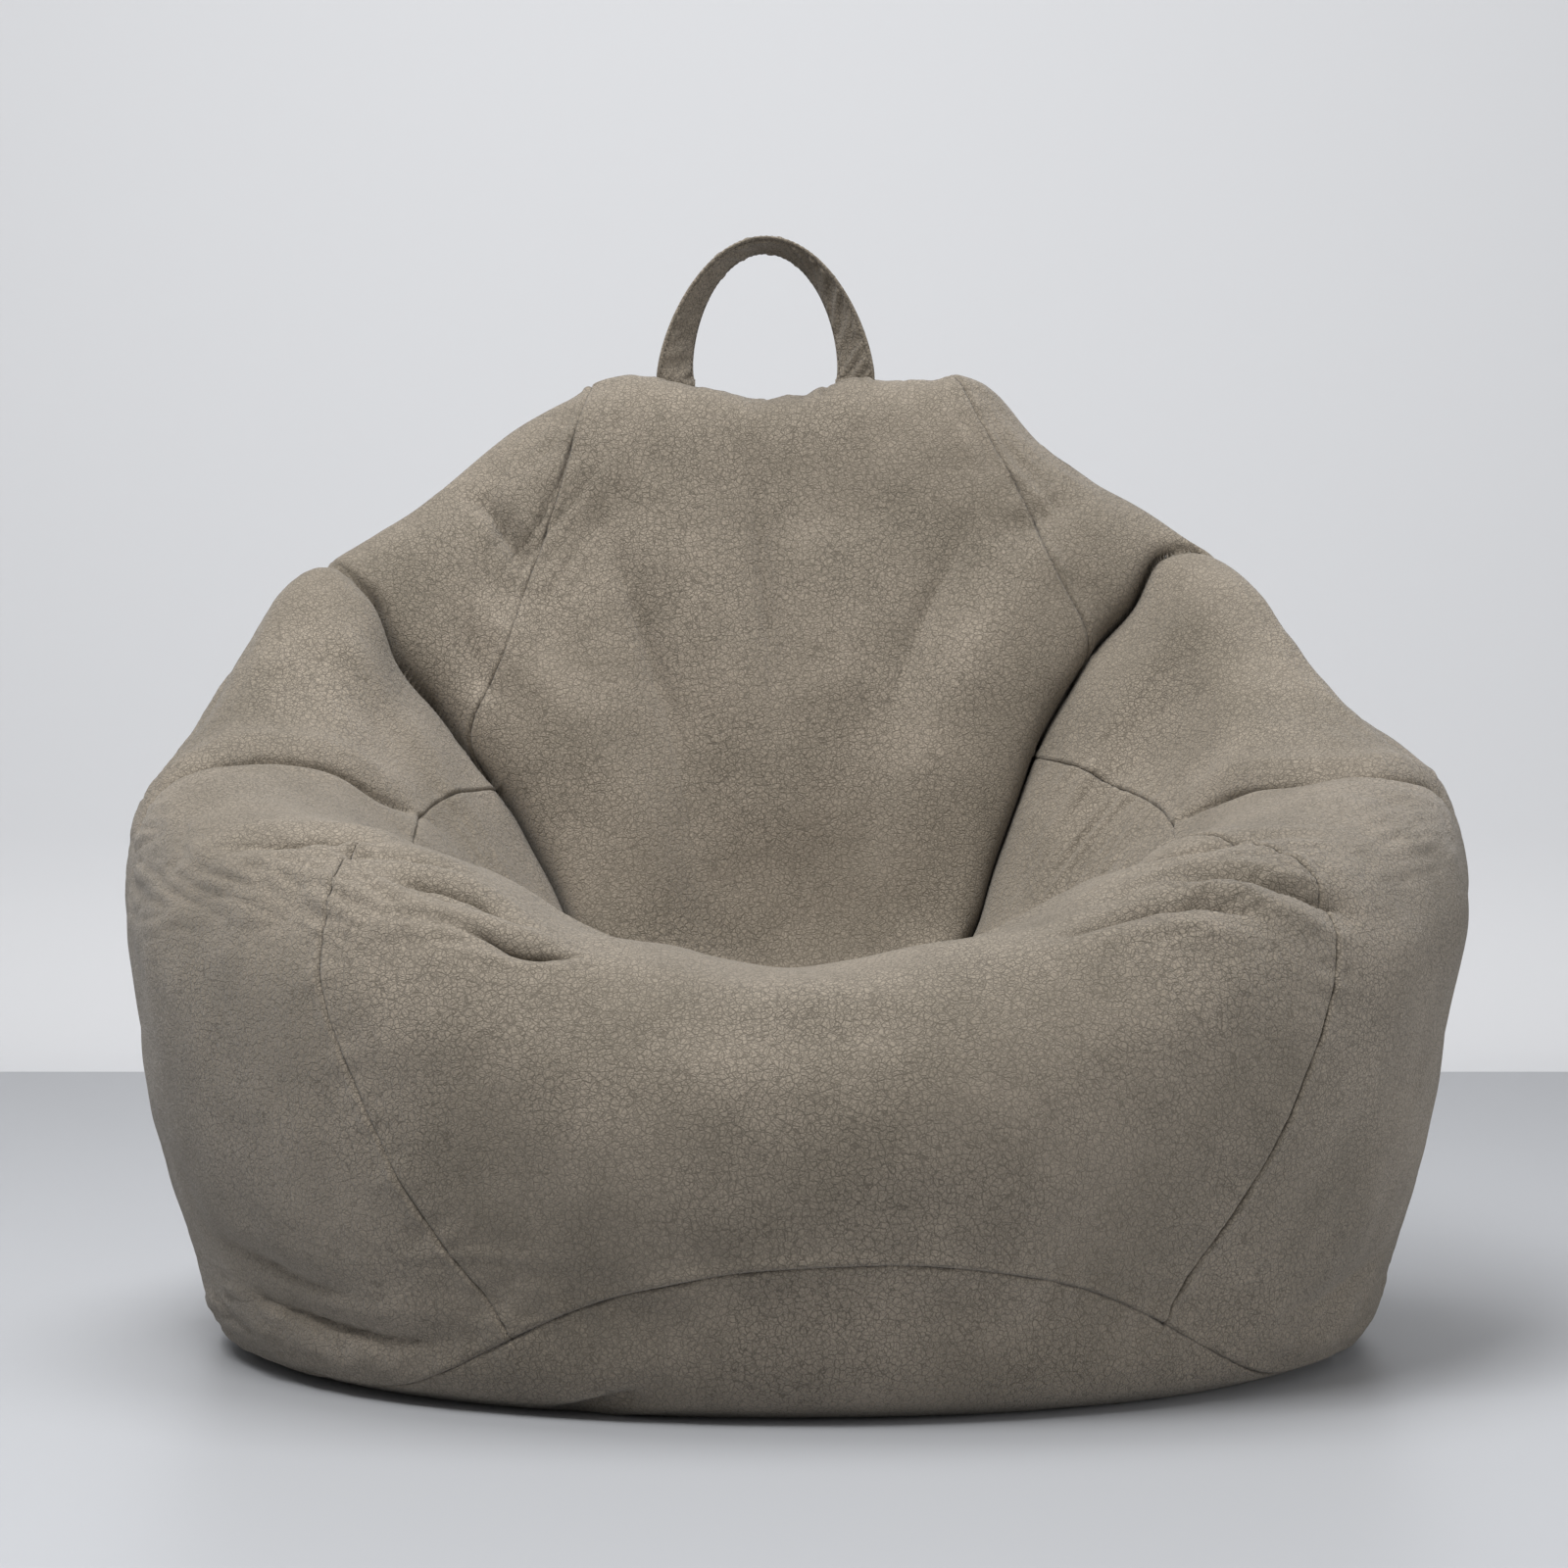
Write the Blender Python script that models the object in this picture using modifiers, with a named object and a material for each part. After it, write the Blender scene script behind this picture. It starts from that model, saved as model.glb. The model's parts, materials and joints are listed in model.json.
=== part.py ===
"""Bean bag chair: sewn cover, carry handle, rear zip, inner liner with its own zip, bead filling.

Metres, +Z up. Origin: centre of the flat base on the floor. Front is -Y, the backrest is at +Y.
Cover, liner and filling are layers of one lofted form, each at its own depth below the outer surface,
so all of them are built from the same grid of points.
"""
import math

import bmesh
import bpy
import numpy as np
from mathutils import Matrix, Vector

# ---------------------------------------------------------------- driving dimensions
# Meridians of the outer form: azimuth in degrees (0 front, 180 rear) and then (radius, height) pairs
# from the flat of the base, up the outer wall, over the rim and down into the seat.
MERIDIANS = {
    0: [(.385, 0), (.412, .010), (.448, .085), (.474, .175), (.456, .245), (.405, .288),
        (.345, .297), (.300, .288), (.262, .268), (.180, .235), (.100, .218)],
    45: [(.395, 0), (.421, .010), (.452, .085), (.484, .205), (.482, .300), (.440, .355),
         (.380, .368), (.332, .358), (.285, .330), (.195, .265), (.110, .225)],
    90: [(.400, 0), (.425, .010), (.448, .085), (.474, .225), (.489, .350), (.452, .425),
         (.405, .442), (.355, .430), (.300, .385), (.205, .295), (.120, .235)],
    118: [(.395, 0), (.420, .010), (.445, .085), (.462, .230), (.470, .410), (.428, .515),
          (.392, .572), (.355, .560), (.315, .470), (.225, .330), (.130, .245)],
    150: [(.390, 0), (.415, .010), (.445, .085), (.450, .240), (.410, .480), (.352, .655),
          (.310, .706), (.282, .695), (.270, .590), (.205, .380), (.135, .255)],
    180: [(.385, 0), (.410, .010), (.440, .085), (.424, .240), (.378, .480), (.336, .660),
          (.285, .712), (.250, .697), (.243, .590), (.195, .385), (.135, .255)],
}
SEAT_HEIGHT = .210
SEAT_CENTRE_Y = -.050
FORM_CENTRE_Y = .01613      # brings the origin to the middle of the whole object's depth
SEAT_SHIFT = {9: .35, 10: .8, 11: 1.0, 12: 1.0}     # share of SEAT_CENTRE_Y taken by the inner rows

# Places along a meridian, from 0 at the base centre to 1 at the seat centre.
BASE_FLAT = .25
BASE_SEAM = .285
FRONT_LIP = .076            # how far the base panel is drawn up the front wall
FRONT_LIP_AZIMUTH = 5.0
FRONT_LIP_HALF_ANGLE = 48.0
WALL_STATIONS = [.285, .315, .350, .392, .435, .487, .538, .575, .612, .640, .660]
ZIP_FIRST, ZIP_LAST = 2, 6  # wall stations between which the rear zip lies
INNER_STATIONS = [.660, .685, .712, .745, .785]
SEAT_STATIONS = [.785, .825, .865, .910, .955, 1.0]
FRONT_SEAM = [(0, 30), (.33, 30), (.40, 36.5), (.52, 43), (.64, 47), (.785, 50), (1, 50)]
BACK_SEAM = [(0, 155), (.66, 155), (.69, 147), (.72, 139), (.747, 132), (.785, 126), (1, 126)]
FRONT_COLUMNS, SIDE_COLUMNS, BACK_COLUMNS = 5, 9, 3
ZIP_COLUMNS = [(.045, 9.0), (.022, 6.0), (.007, 3.0), (0, 0)]   # distance from the zip, widest angle

# Layers: depth below the outer surface, with extra depth over the base and behind the rear zip.
SEAM_GAP = .0018
COVER_THICKNESS = .0012
LINER_THICKNESS = .0006
LINER_DEPTH = (.0022, .0032, .0040)
FILLING_DEPTH = (.0036, .0064, .0040)

# Handle: a strap sewn into the top seam.
STRAP_WIDTH = .034
STRAP_THICKNESS = .0040
SLEEVE_WALL = .0009
SLEEVE_GAP = .0005
HANDLE_X = -.0223
HANDLE_HALF_WIDTH = .0868
HANDLE_HEIGHT = .110
HANDLE_CLEARANCE = .0045
STRAP_TWIST = (10, 65)      # degrees between the strap's face and the loop's plane, at root and apex

# Zip pieces, in the zip's own frame: x across, y out of the surface, z along.
TAPE_INNER, TAPE_OUTER = .0012, .016
TAPE_TOP, TAPE_BOTTOM = -.0016, -.0023
COIL_INNER, COIL_OUTER = .0008, .0032
COIL_BOTTOM, COIL_TOP = -.0013, .0005
SLIDER_LENGTH = .012
SLIDER_GAP = .0003
PULL_PIVOT = .0028
PULL_LENGTH, PULL_WIDTH, PULL_THICKNESS = .027, .007, .001

# Liner zip, flat along X in the liner's base.
LINER_ZIP_HALF = .155
LINER_ZIP_Z = .0054
LINER_SLIT = .0045

SUEDE = ("suede", (.205, .175, .140), .85, 0)
LINER_CLOTH = ("liner_cloth", (.78, .77, .74), .9, 0)
BEADS = ("eps_beads", (.93, .93, .92), .8, 0)
ZIP_TAPE = ("zip_tape", (.10, .09, .075), .9, 0)
ZIP_COIL = ("zip_coil", (.08, .07, .06), .45, 0)
ZIP_METAL = ("zip_metal", (.32, .30, .27), .35, 1)
WEBBING = ("webbing", (.16, .14, .12), .8, 0)


# ---------------------------------------------------------------- scene and materials
def clear_scene():
    for thing in list(bpy.data.objects):
        bpy.data.objects.remove(thing, do_unlink=True)


def collection(name):
    made = bpy.data.collections.new(name)
    bpy.context.scene.collection.children.link(made)
    return made


def material(spec):
    name, colour, roughness, metallic = spec
    made = bpy.data.materials.get(name)
    if made is None:
        made = bpy.data.materials.new(name)
        made.use_nodes = True
        shader = made.node_tree.nodes["Principled BSDF"]
        shader.inputs["Base Color"].default_value = (*colour, 1)
        shader.inputs["Roughness"].default_value = roughness
        shader.inputs["Metallic"].default_value = metallic
        made.diffuse_color = (*colour, 1)
    return made


def add_object(name, mesh, spec, home):
    thing = bpy.data.objects.new(name, mesh)
    home.objects.link(thing)
    mesh.materials.append(material(spec))
    return thing


# ---------------------------------------------------------------- the outer form
def hermite(knots, values, where):
    """Cubic curve through values at knots, read at where; values may have trailing axes."""
    knots, values = np.asarray(knots, float), np.asarray(values, float)
    step = np.diff(knots)
    slope = np.diff(values) / step
    tangent = np.empty_like(values)
    tangent[..., 0], tangent[..., -1] = slope[..., 0], slope[..., -1]
    weighted = slope[..., :-1] * step[1:] + slope[..., 1:] * step[:-1]
    tangent[..., 1:-1] = weighted / (step[:-1] + step[1:])
    at = min(max(int(np.searchsorted(knots, where, side="right")) - 1, 0), len(knots) - 2)
    s, h = (where - knots[at]) / step[at], step[at]
    return ((2 * s**3 - 3 * s**2 + 1) * values[..., at] + (s**3 - 2 * s**2 + s) * h * tangent[..., at]
            + (3 * s**2 - 2 * s**3) * values[..., at + 1] + (s**3 - s**2) * h * tangent[..., at + 1])


def meridian(azimuth):
    """Rows of (radius, height, shift in y) at one azimuth, from the base centre to the seat centre."""
    keys = sorted(MERIDIANS)
    azimuths = [-keys[1]] + keys + [360 - keys[-2]]
    order = [keys[1]] + keys + [keys[-2]]
    table = np.array([MERIDIANS[key] for key in order])
    rows = hermite(azimuths, np.moveaxis(table, 0, -1), abs(azimuth))
    rows = np.vstack([[0, 0], rows, [0, SEAT_HEIGHT]])
    shift = [SEAT_CENTRE_Y * SEAT_SHIFT.get(k, 0) for k in range(len(rows))]
    return np.column_stack([rows, shift])


def mean_stations():
    """Share of the path at each meridian row, averaged round the form."""
    steps = [np.linalg.norm(np.diff(meridian(a)[:, :2], axis=0), axis=1) for a in range(0, 181, 15)]
    along = np.concatenate([[0], np.cumsum(np.mean(steps, axis=0))])
    return along / along[-1]


STATIONS = mean_stations()


def surface(azimuth, t):
    azimuth = (azimuth + 180) % 360 - 180
    rows = meridian(azimuth).T
    radius, height, shift = hermite(STATIONS, rows, t)
    if t <= STATIONS[1]:
        height = 0
    angle = math.radians(azimuth)
    across = shift - radius * math.cos(angle)
    return np.array([radius * math.sin(angle), across + FORM_CENTRE_Y, max(height, 0)])


# ---------------------------------------------------------------- the grid of points
def seam_angle(table, t):
    return float(np.interp(t, [row[0] for row in table], [row[1] for row in table]))


def base_seam(azimuth):
    off = abs(azimuth - FRONT_LIP_AZIMUTH) / FRONT_LIP_HALF_ANGLE
    return BASE_SEAM + FRONT_LIP * max(0, math.cos(min(off, 1) * math.pi / 2)) ** 1.3


def column_azimuths(t):
    """Azimuths from 0 to 180 of the grid's lines at station t: seams first, then the lines between."""
    front, back = seam_angle(FRONT_SEAM, t), seam_angle(BACK_SEAM, t)
    radius = surface(180, t)[1] - FORM_CENTRE_Y
    zip_lines = [180 - min(math.degrees(math.atan2(x, max(radius, 1e-6))), limit)
                 for x, limit in ZIP_COLUMNS]
    return np.concatenate([
        np.linspace(0, front, FRONT_COLUMNS + 1)[:-1],
        np.linspace(front, back, SIDE_COLUMNS + 1)[:-1],
        np.linspace(back, zip_lines[0], BACK_COLUMNS + 1)[:-1],
        zip_lines])


HALF = FRONT_COLUMNS + SIDE_COLUMNS + BACK_COLUMNS + len(ZIP_COLUMNS) - 1
COLUMNS = 2 * HALF


def row_stations(azimuth):
    seam = base_seam(azimuth)
    blend_end = WALL_STATIONS[4]
    stretch = (blend_end - seam) / (blend_end - BASE_SEAM)
    wall = [seam + (t - BASE_SEAM) * stretch if t < blend_end else t for t in WALL_STATIONS]
    base = [0, BASE_FLAT / 2, BASE_FLAT, (BASE_FLAT + seam) / 2]
    return base + wall + INNER_STATIONS[1:] + SEAT_STATIONS[1:]


BASE_ROWS = 4
WALL_ROWS = len(WALL_STATIONS) - 1
INNER_ROWS = len(INNER_STATIONS) - 1
ROWS = BASE_ROWS + WALL_ROWS + INNER_ROWS + len(SEAT_STATIONS) - 1
ZIP_ROWS = range(BASE_ROWS + ZIP_FIRST, BASE_ROWS + ZIP_LAST + 1)


def near_zip(column, row, lines):
    """True within that many grid lines of the rear zip, and level with it."""
    from_rear = min(column, COLUMNS - column)
    return from_rear <= lines and row in ZIP_ROWS


def grid_points():
    """Points[column, row]; column 0 and column COLUMNS both lie at the rear centre."""
    points = np.zeros((COLUMNS + 1, ROWS + 1, 3))
    for column in range(COLUMNS + 1):
        side = -1 if column < HALF else 1
        line = abs(column - HALF)
        azimuth = side * column_azimuths(.5)[line]
        for row in range(ROWS + 1):
            for _ in range(3):              # the seams' angle depends on the station, and back again
                station = row_stations(azimuth)[row]
                azimuth = side * column_azimuths(station)[line]
            points[column, row] = surface(azimuth, station)
    low, high = points[0, ZIP_ROWS[0]].copy(), points[0, ZIP_ROWS[-1]].copy()
    for column in range(COLUMNS + 1):
        for row in ZIP_ROWS:
            if near_zip(column, row, 2):    # the panels lie flat beside the zip
                share = (points[column, row, 2] - low[2]) / (high[2] - low[2])
                points[column, row, 1] = low[1] + share * (high[1] - low[1])
    return points


def grid_normals(points):
    ring = points[:-1]
    across = np.roll(ring, -1, axis=0) - np.roll(ring, 1, axis=0)
    along = np.gradient(ring, axis=1)
    normals = np.cross(across, along)
    normals = np.concatenate([normals, normals[:1]])
    normals /= np.maximum(np.linalg.norm(normals, axis=2, keepdims=True), 1e-12)
    normals[:, :3] = (0, 0, -1)
    normals[:, -1] = (0, 0, 1)
    return normals


POINTS = grid_points()
NORMALS = grid_normals(POINTS)
ZIP_LOW = Vector(POINTS[0, ZIP_ROWS[0]])
ZIP_HIGH = Vector(POINTS[0, ZIP_ROWS[-1]])
ZIP_UP = (ZIP_HIGH - ZIP_LOW).normalized()
ZIP_OUT = Vector((1, 0, 0)).cross(ZIP_UP) * -1
ZIP_LENGTH = (ZIP_HIGH - ZIP_LOW).length
ZIP_FRAME = Matrix.Translation(ZIP_LOW) @ Matrix(
    [(1, ZIP_OUT.x, ZIP_UP.x), (0, ZIP_OUT.y, ZIP_UP.y), (0, ZIP_OUT.z, ZIP_UP.z)]).to_4x4()


def layer_points(depths):
    """The grid moved inwards: (walls, extra over the base, extra behind the zip)."""
    wall, base_extra, zip_extra = depths
    moved = POINTS.copy()
    for column in range(COLUMNS + 1):
        for row in range(ROWS + 1):
            depth = wall
            if row < BASE_ROWS:
                depth += base_extra * (1 if row <= 2 else .5)
            if near_zip(column, row, 2):
                depth += zip_extra
            moved[column, row] -= depth * NORMALS[column, row]
    return moved


# ---------------------------------------------------------------- cloth panels
def zone(column, row):
    """Which panel a face of the grid belongs to."""
    line = abs(column + .5 - HALF)
    side = "left" if column < HALF else "right"
    if row < BASE_ROWS:
        return "base"
    if row >= BASE_ROWS + WALL_ROWS + INNER_ROWS:
        return "back_seat"
    if line < FRONT_COLUMNS:
        return "front"
    if line < FRONT_COLUMNS + SIDE_COLUMNS:
        return side + "_side"
    if row >= BASE_ROWS + WALL_ROWS:
        return "back_seat"
    if line > HALF - 1 and row in ZIP_ROWS and row + 1 in ZIP_ROWS:
        return "zip_slit"
    return "rear_" + side


def grid_mesh(name, points, keep, gap):
    """A mesh of the kept faces of the grid, with its open border drawn back by half a seam gap."""
    mesh = bmesh.new()
    bmesh.ops.create_grid(mesh, x_segments=COLUMNS, y_segments=ROWS, size=.5)
    place = {}
    for vertex in mesh.verts:
        column = round((vertex.co.x + .5) * COLUMNS)
        row = round((vertex.co.y + .5) * ROWS)
        place[vertex] = (column, row)
    gone = [face for face in mesh.faces
            if not keep(min(place[v][0] for v in face.verts), min(place[v][1] for v in face.verts))]
    for vertex, (column, row) in place.items():
        vertex.co = points[column, row]
    bmesh.ops.delete(mesh, geom=gone, context="FACES")
    bmesh.ops.triangulate(mesh, faces=mesh.faces[:], quad_method="FIXED")
    bmesh.ops.remove_doubles(mesh, verts=mesh.verts[:], dist=1e-6)
    mesh.normal_update()
    draw_back_border(mesh, gap / 2)
    made = bpy.data.meshes.new(name)
    mesh.to_mesh(made)
    mesh.free()
    return made


def draw_back_border(mesh, distance):
    """Moves each vertex of the open border into its own faces, square to the border."""
    moves = {}
    for vertex in mesh.verts:
        inwards = []
        for edge in vertex.link_edges:
            if edge.is_boundary:
                face = edge.link_faces[0]
                along = (edge.verts[1].co - edge.verts[0].co).normalized()
                to_face = face.calc_center_median() - edge.verts[0].co
                inwards.append((to_face - along * to_face.dot(along)).normalized())
        if inwards:
            total = sum(inwards, Vector())
            moves[vertex] = total * (distance * len(inwards) / max(total.length_squared, .5))
    for vertex, move in moves.items():
        vertex.co += move


def cloth_panel(name, points, keep, thickness, spec, home, gap=SEAM_GAP):
    panel = add_object(name, grid_mesh(name, points, keep, gap), spec, home)
    shell = panel.modifiers.new("thickness", "SOLIDIFY")
    shell.thickness = thickness
    shell.offset = -1
    panel.data.shade_smooth()
    return panel


def cover(home):
    names = {"base": "cover_base_panel", "front": "cover_front_panel",
             "left_side": "cover_left_side_panel", "right_side": "cover_right_side_panel",
             "back_seat": "cover_back_seat_panel",
             "rear_left": "cover_rear_left_panel", "rear_right": "cover_rear_right_panel"}
    for which, name in names.items():
        cloth_panel(name, POINTS, lambda c, r, which=which: zone(c, r) == which,
                    COVER_THICKNESS, SUEDE, home)


def liner(home):
    points = layer_points(LINER_DEPTH)
    quarter = FRONT_COLUMNS + 4         # the grid line nearest the sides, where the base is split
    for column in (HALF - quarter, HALF + quarter):
        for row in range(BASE_ROWS):
            points[column, row, 1] = FORM_CENTRE_Y
    front = range(HALF - quarter, HALF + quarter)
    halves = {"liner_left_shell": lambda c, r: r >= BASE_ROWS and c < HALF,
              "liner_right_shell": lambda c, r: r >= BASE_ROWS and c >= HALF,
              "liner_base_front": lambda c, r: r < BASE_ROWS and c in front,
              "liner_base_rear": lambda c, r: r < BASE_ROWS and c not in front}
    for name, keep in halves.items():
        panel = cloth_panel(name, points, keep, LINER_THICKNESS, LINER_CLOTH, home)
        if "base" in name:
            open_slit(panel.data, -1 if name.endswith("front") else 1)


def open_slit(mesh, side):
    """Draws the straight edge along X back from the liner zip, over the zip's length only."""
    for vertex in mesh.vertices:
        on_edge = abs(vertex.co.y - FORM_CENTRE_Y) < SEAM_GAP
        if on_edge and abs(vertex.co.x) < LINER_ZIP_HALF + .06:
            vertex.co.y = FORM_CENTRE_Y + side * LINER_SLIT


def filling(home):
    mesh = grid_mesh("bead_filling", layer_points(FILLING_DEPTH), lambda c, r: True, 0)
    add_object("bead_filling", mesh, BEADS, home).data.shade_smooth()


# ---------------------------------------------------------------- handle
def strap_mesh(name, width, thickness):
    """A rectangular strap swept along the loop: a closed tube wall, open at both roots."""
    steps = 26
    corners = [(-.5, -.5), (0, -.5), (.5, -.5), (.5, .5), (0, .5), (-.5, .5)]
    mesh = bmesh.new()
    bmesh.ops.create_grid(mesh, x_segments=steps, y_segments=len(corners), size=.5)
    for vertex in mesh.verts:
        step = round((vertex.co.x + .5) * steps)
        corner = corners[round((vertex.co.y + .5) * len(corners)) % len(corners)]
        centre, across, out = strap_frame(step / steps)
        vertex.co = centre + across * (corner[0] * width) + out * (corner[1] * thickness)
    bmesh.ops.triangulate(mesh, faces=mesh.faces[:], quad_method="FIXED")
    bmesh.ops.remove_doubles(mesh, verts=mesh.verts[:], dist=1e-6)
    return mesh


def strap_frame(share):
    """Centre line, width direction and face direction of the strap; share runs root to root."""
    def outer_edge(angle):
        rise = max(math.sin(angle), 0) ** (4 / 3)
        return Vector((-HANDLE_HALF_WIDTH * math.cos(angle), 0, HANDLE_HEIGHT * rise))

    angle = math.pi * share
    step = .01
    tangent = (outer_edge(min(angle + step, math.pi)) - outer_edge(max(angle - step, 0))).normalized()
    inwards = Vector((0, 1, 0)).cross(tangent)
    twist = math.radians(STRAP_TWIST[0] + (STRAP_TWIST[1] - STRAP_TWIST[0]) * math.sin(angle))
    across = inwards * math.cos(twist) + Vector((0, 1, 0)) * math.sin(twist)
    out = tangent.cross(across)
    centre = outer_edge(angle) + inwards * (STRAP_WIDTH * math.cos(twist) / 2)
    return HANDLE_ROOT + HANDLE_TURN @ centre, HANDLE_TURN @ across, HANDLE_TURN @ out


def crest_near(x):
    """Point of the top seam line at one root of the handle."""
    seam = POINTS[:, BASE_ROWS + WALL_ROWS]
    rear = seam[seam[:, 1] > 0]
    order = np.argsort(rear[:, 0])
    return Vector([x] + [float(np.interp(x, rear[order, 0], rear[order, axis])) for axis in (1, 2)])


HANDLE_LEGS = [crest_near(HANDLE_X + side * (HANDLE_HALF_WIDTH - STRAP_WIDTH / 2)) for side in (-1, 1)]
HANDLE_LINE = (HANDLE_LEGS[1] - HANDLE_LEGS[0]) * Vector((1, 1, 0))
HANDLE_TURN = Matrix.Rotation(math.atan2(HANDLE_LINE.y, HANDLE_LINE.x), 3, "Z")
HANDLE_ROOT = (HANDLE_LEGS[0] + HANDLE_LEGS[1]) / 2
HANDLE_ROOT.z = max(leg.z for leg in HANDLE_LEGS) + HANDLE_CLEARANCE


def finish_mesh(mesh, name):
    bmesh.ops.recalc_face_normals(mesh, faces=mesh.faces[:])
    made = bpy.data.meshes.new(name)
    mesh.to_mesh(made)
    mesh.free()
    return made


def handle(home):
    pivot = bpy.data.objects.new("handle_pivot", None)
    pivot.location = HANDLE_ROOT
    home.objects.link(pivot)
    sleeve = strap_mesh("handle_sleeve", STRAP_WIDTH, STRAP_THICKNESS)
    sleeve = add_object("handle_sleeve", finish_mesh(sleeve, "handle_sleeve"), SUEDE, home)
    shell = sleeve.modifiers.new("wall", "SOLIDIFY")
    shell.thickness = SLEEVE_WALL
    shell.offset = -1
    inset = 2 * (SLEEVE_WALL + SLEEVE_GAP)
    core = strap_mesh("handle_webbing", STRAP_WIDTH - inset, STRAP_THICKNESS - inset)
    bmesh.ops.holes_fill(core, edges=core.edges[:], sides=0)
    core = add_object("handle_webbing", finish_mesh(core, "handle_webbing"), WEBBING, home)
    for piece in (sleeve, core):
        piece.parent = pivot
        piece.matrix_parent_inverse = Matrix.Translation(-HANDLE_ROOT)


# ---------------------------------------------------------------- boxes in a zip's frame
def box_mesh(name, low, high):
    mesh = bmesh.new()
    size = [b - a for a, b in zip(low, high)]
    middle = [(a + b) / 2 for a, b in zip(low, high)]
    bmesh.ops.create_cube(mesh, size=1, matrix=Matrix.Translation(middle) @ Matrix.Diagonal((*size, 1)))
    return finish_mesh(mesh, name)


def zip_box(name, low, high, spec, home, frame, bevel=0):
    """A box given in the zip's frame, as x across, y outwards and z along."""
    box = add_object(name, box_mesh(name, low, high), spec, home)
    box.matrix_world = frame
    if bevel:
        soften(box, bevel)
    return box


def soften(thing, width):
    edge = thing.modifiers.new("edges", "BEVEL")
    edge.width = width
    edge.segments = 1
    edge.limit_method = "ANGLE"


def unite(body, low, high, cutters):
    """Adds a box to a body with a Boolean."""
    tool = zip_box(body.name + "_tool", low, high, ZIP_METAL, cutters, body.matrix_world)
    tool.hide_render = True
    tool.display_type = "WIRE"
    union = body.modifiers.new("union", "BOOLEAN")
    union.operation = "UNION"
    union.object = tool


def slider(name, at, home, cutters, frame, crown):
    """Two plates joined by a thin post between the coils, with side flanges and, on request, a crown."""
    half = SLIDER_LENGTH / 2
    top, bottom = COIL_TOP + SLIDER_GAP, TAPE_BOTTOM - SLIDER_GAP
    low, high = at - half, at + half
    flange_low = TAPE_TOP + SLIDER_GAP + .0001
    body = zip_box(name, (-.0043, top, low), (.0043, top + .001, high), ZIP_METAL, home, frame)
    unite(body, (-.0041, bottom - .001, low), (.0041, bottom, high), cutters)
    unite(body, (-.00045, bottom - .0005, high - .006), (.00045, top + .0005, high - .001), cutters)
    for side in (-1, 1):
        inner, outer = sorted((side * (COIL_OUTER + .0004), side * .0043))
        unite(body, (inner, flange_low, low), (outer, top + .0005, high), cutters)
    if crown:
        bridge = PULL_PIVOT + .001
        for z in (at - .0038, at + .0030):
            unite(body, (-.001, top + .0005, z), (.001, bridge + .0004, z + .0008), cutters)
        unite(body, (-.001, bridge, at - .0038), (.001, bridge + .0009, at + .0038), cutters)
    return body


def coil_and_tape(names, length, home, frame, tape_over=.006):
    """Tape and coil on each side of a zip; names gives the two ends of each node's name."""
    for side, ending in zip((-1, 1), names[1]):
        inner, outer = sorted((side * TAPE_INNER, side * TAPE_OUTER))
        zip_box(f"{names[0]}zip_tape_{ending}", (inner, TAPE_BOTTOM, -tape_over),
                (outer, TAPE_TOP, length + tape_over), ZIP_TAPE, home, frame)
        inner, outer = sorted((side * COIL_INNER, side * COIL_OUTER))
        zip_box(f"{names[0]}zip_coil_{ending}", (inner, COIL_BOTTOM, 0),
                (outer, COIL_TOP, length), ZIP_COIL, home, frame, .0003)


def rear_zip(home, cutters):
    margin = .008
    frame = ZIP_FRAME @ Matrix.Translation((0, 0, margin))
    length = ZIP_LENGTH - 2 * margin
    coil_and_tape(("", ("left", "right")), length, home, frame)
    closed_at = length - SLIDER_LENGTH / 2 - .001
    slider("zip_slider", closed_at, home, cutters, frame, True)
    pull(closed_at, home, frame)
    zip_box("zip_bottom_stop", (-.0034, COIL_BOTTOM, -.0036), (.0034, COIL_TOP + .0004, -.0005),
            ZIP_METAL, home, frame, .0003)
    for side, ending in ((-1, "left"), (1, "right")):
        inner, outer = sorted((side * COIL_INNER, side * COIL_OUTER))
        zip_box(f"zip_top_stop_{ending}", (inner, COIL_BOTTOM, length + .0005),
                (outer, COIL_TOP + .0004, length + .003), ZIP_METAL, home, frame, .0003)


def pull(at, home, frame):
    """A flat tab with a slot, whose top bar passes under the slider's crown."""
    half = PULL_WIDTH / 2
    bar = .0005
    slot_end, slot_half = -.0060, .0021
    curve = bpy.data.curves.new("zip_pull", "CURVE")
    curve.dimensions = "2D"
    curve.fill_mode = "BOTH"
    curve.extrude = PULL_THICKNESS / 2
    tip = -PULL_LENGTH
    outline = [(-half, bar), (-half, tip + .003), (-half + .002, tip), (half - .002, tip),
               (half, tip + .003), (half, bar)]
    slot = [(-slot_half, -bar), (slot_half, -bar), (slot_half, slot_end), (-slot_half, slot_end)]
    for loop in (outline, slot):
        spline = curve.splines.new("POLY")
        spline.points.add(len(loop) - 1)
        for point, (x, z) in zip(spline.points, loop):
            point.co = (x, z, 0, 1)
        spline.use_cyclic_u = True
    tab = bpy.data.objects.new("zip_pull", curve)
    tab.data.materials.append(material(ZIP_METAL))
    home.objects.link(tab)
    tab.matrix_world = frame @ Matrix.Translation((0, PULL_PIVOT, at)) @ Matrix.Rotation(
        math.radians(90), 4, "X")


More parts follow.
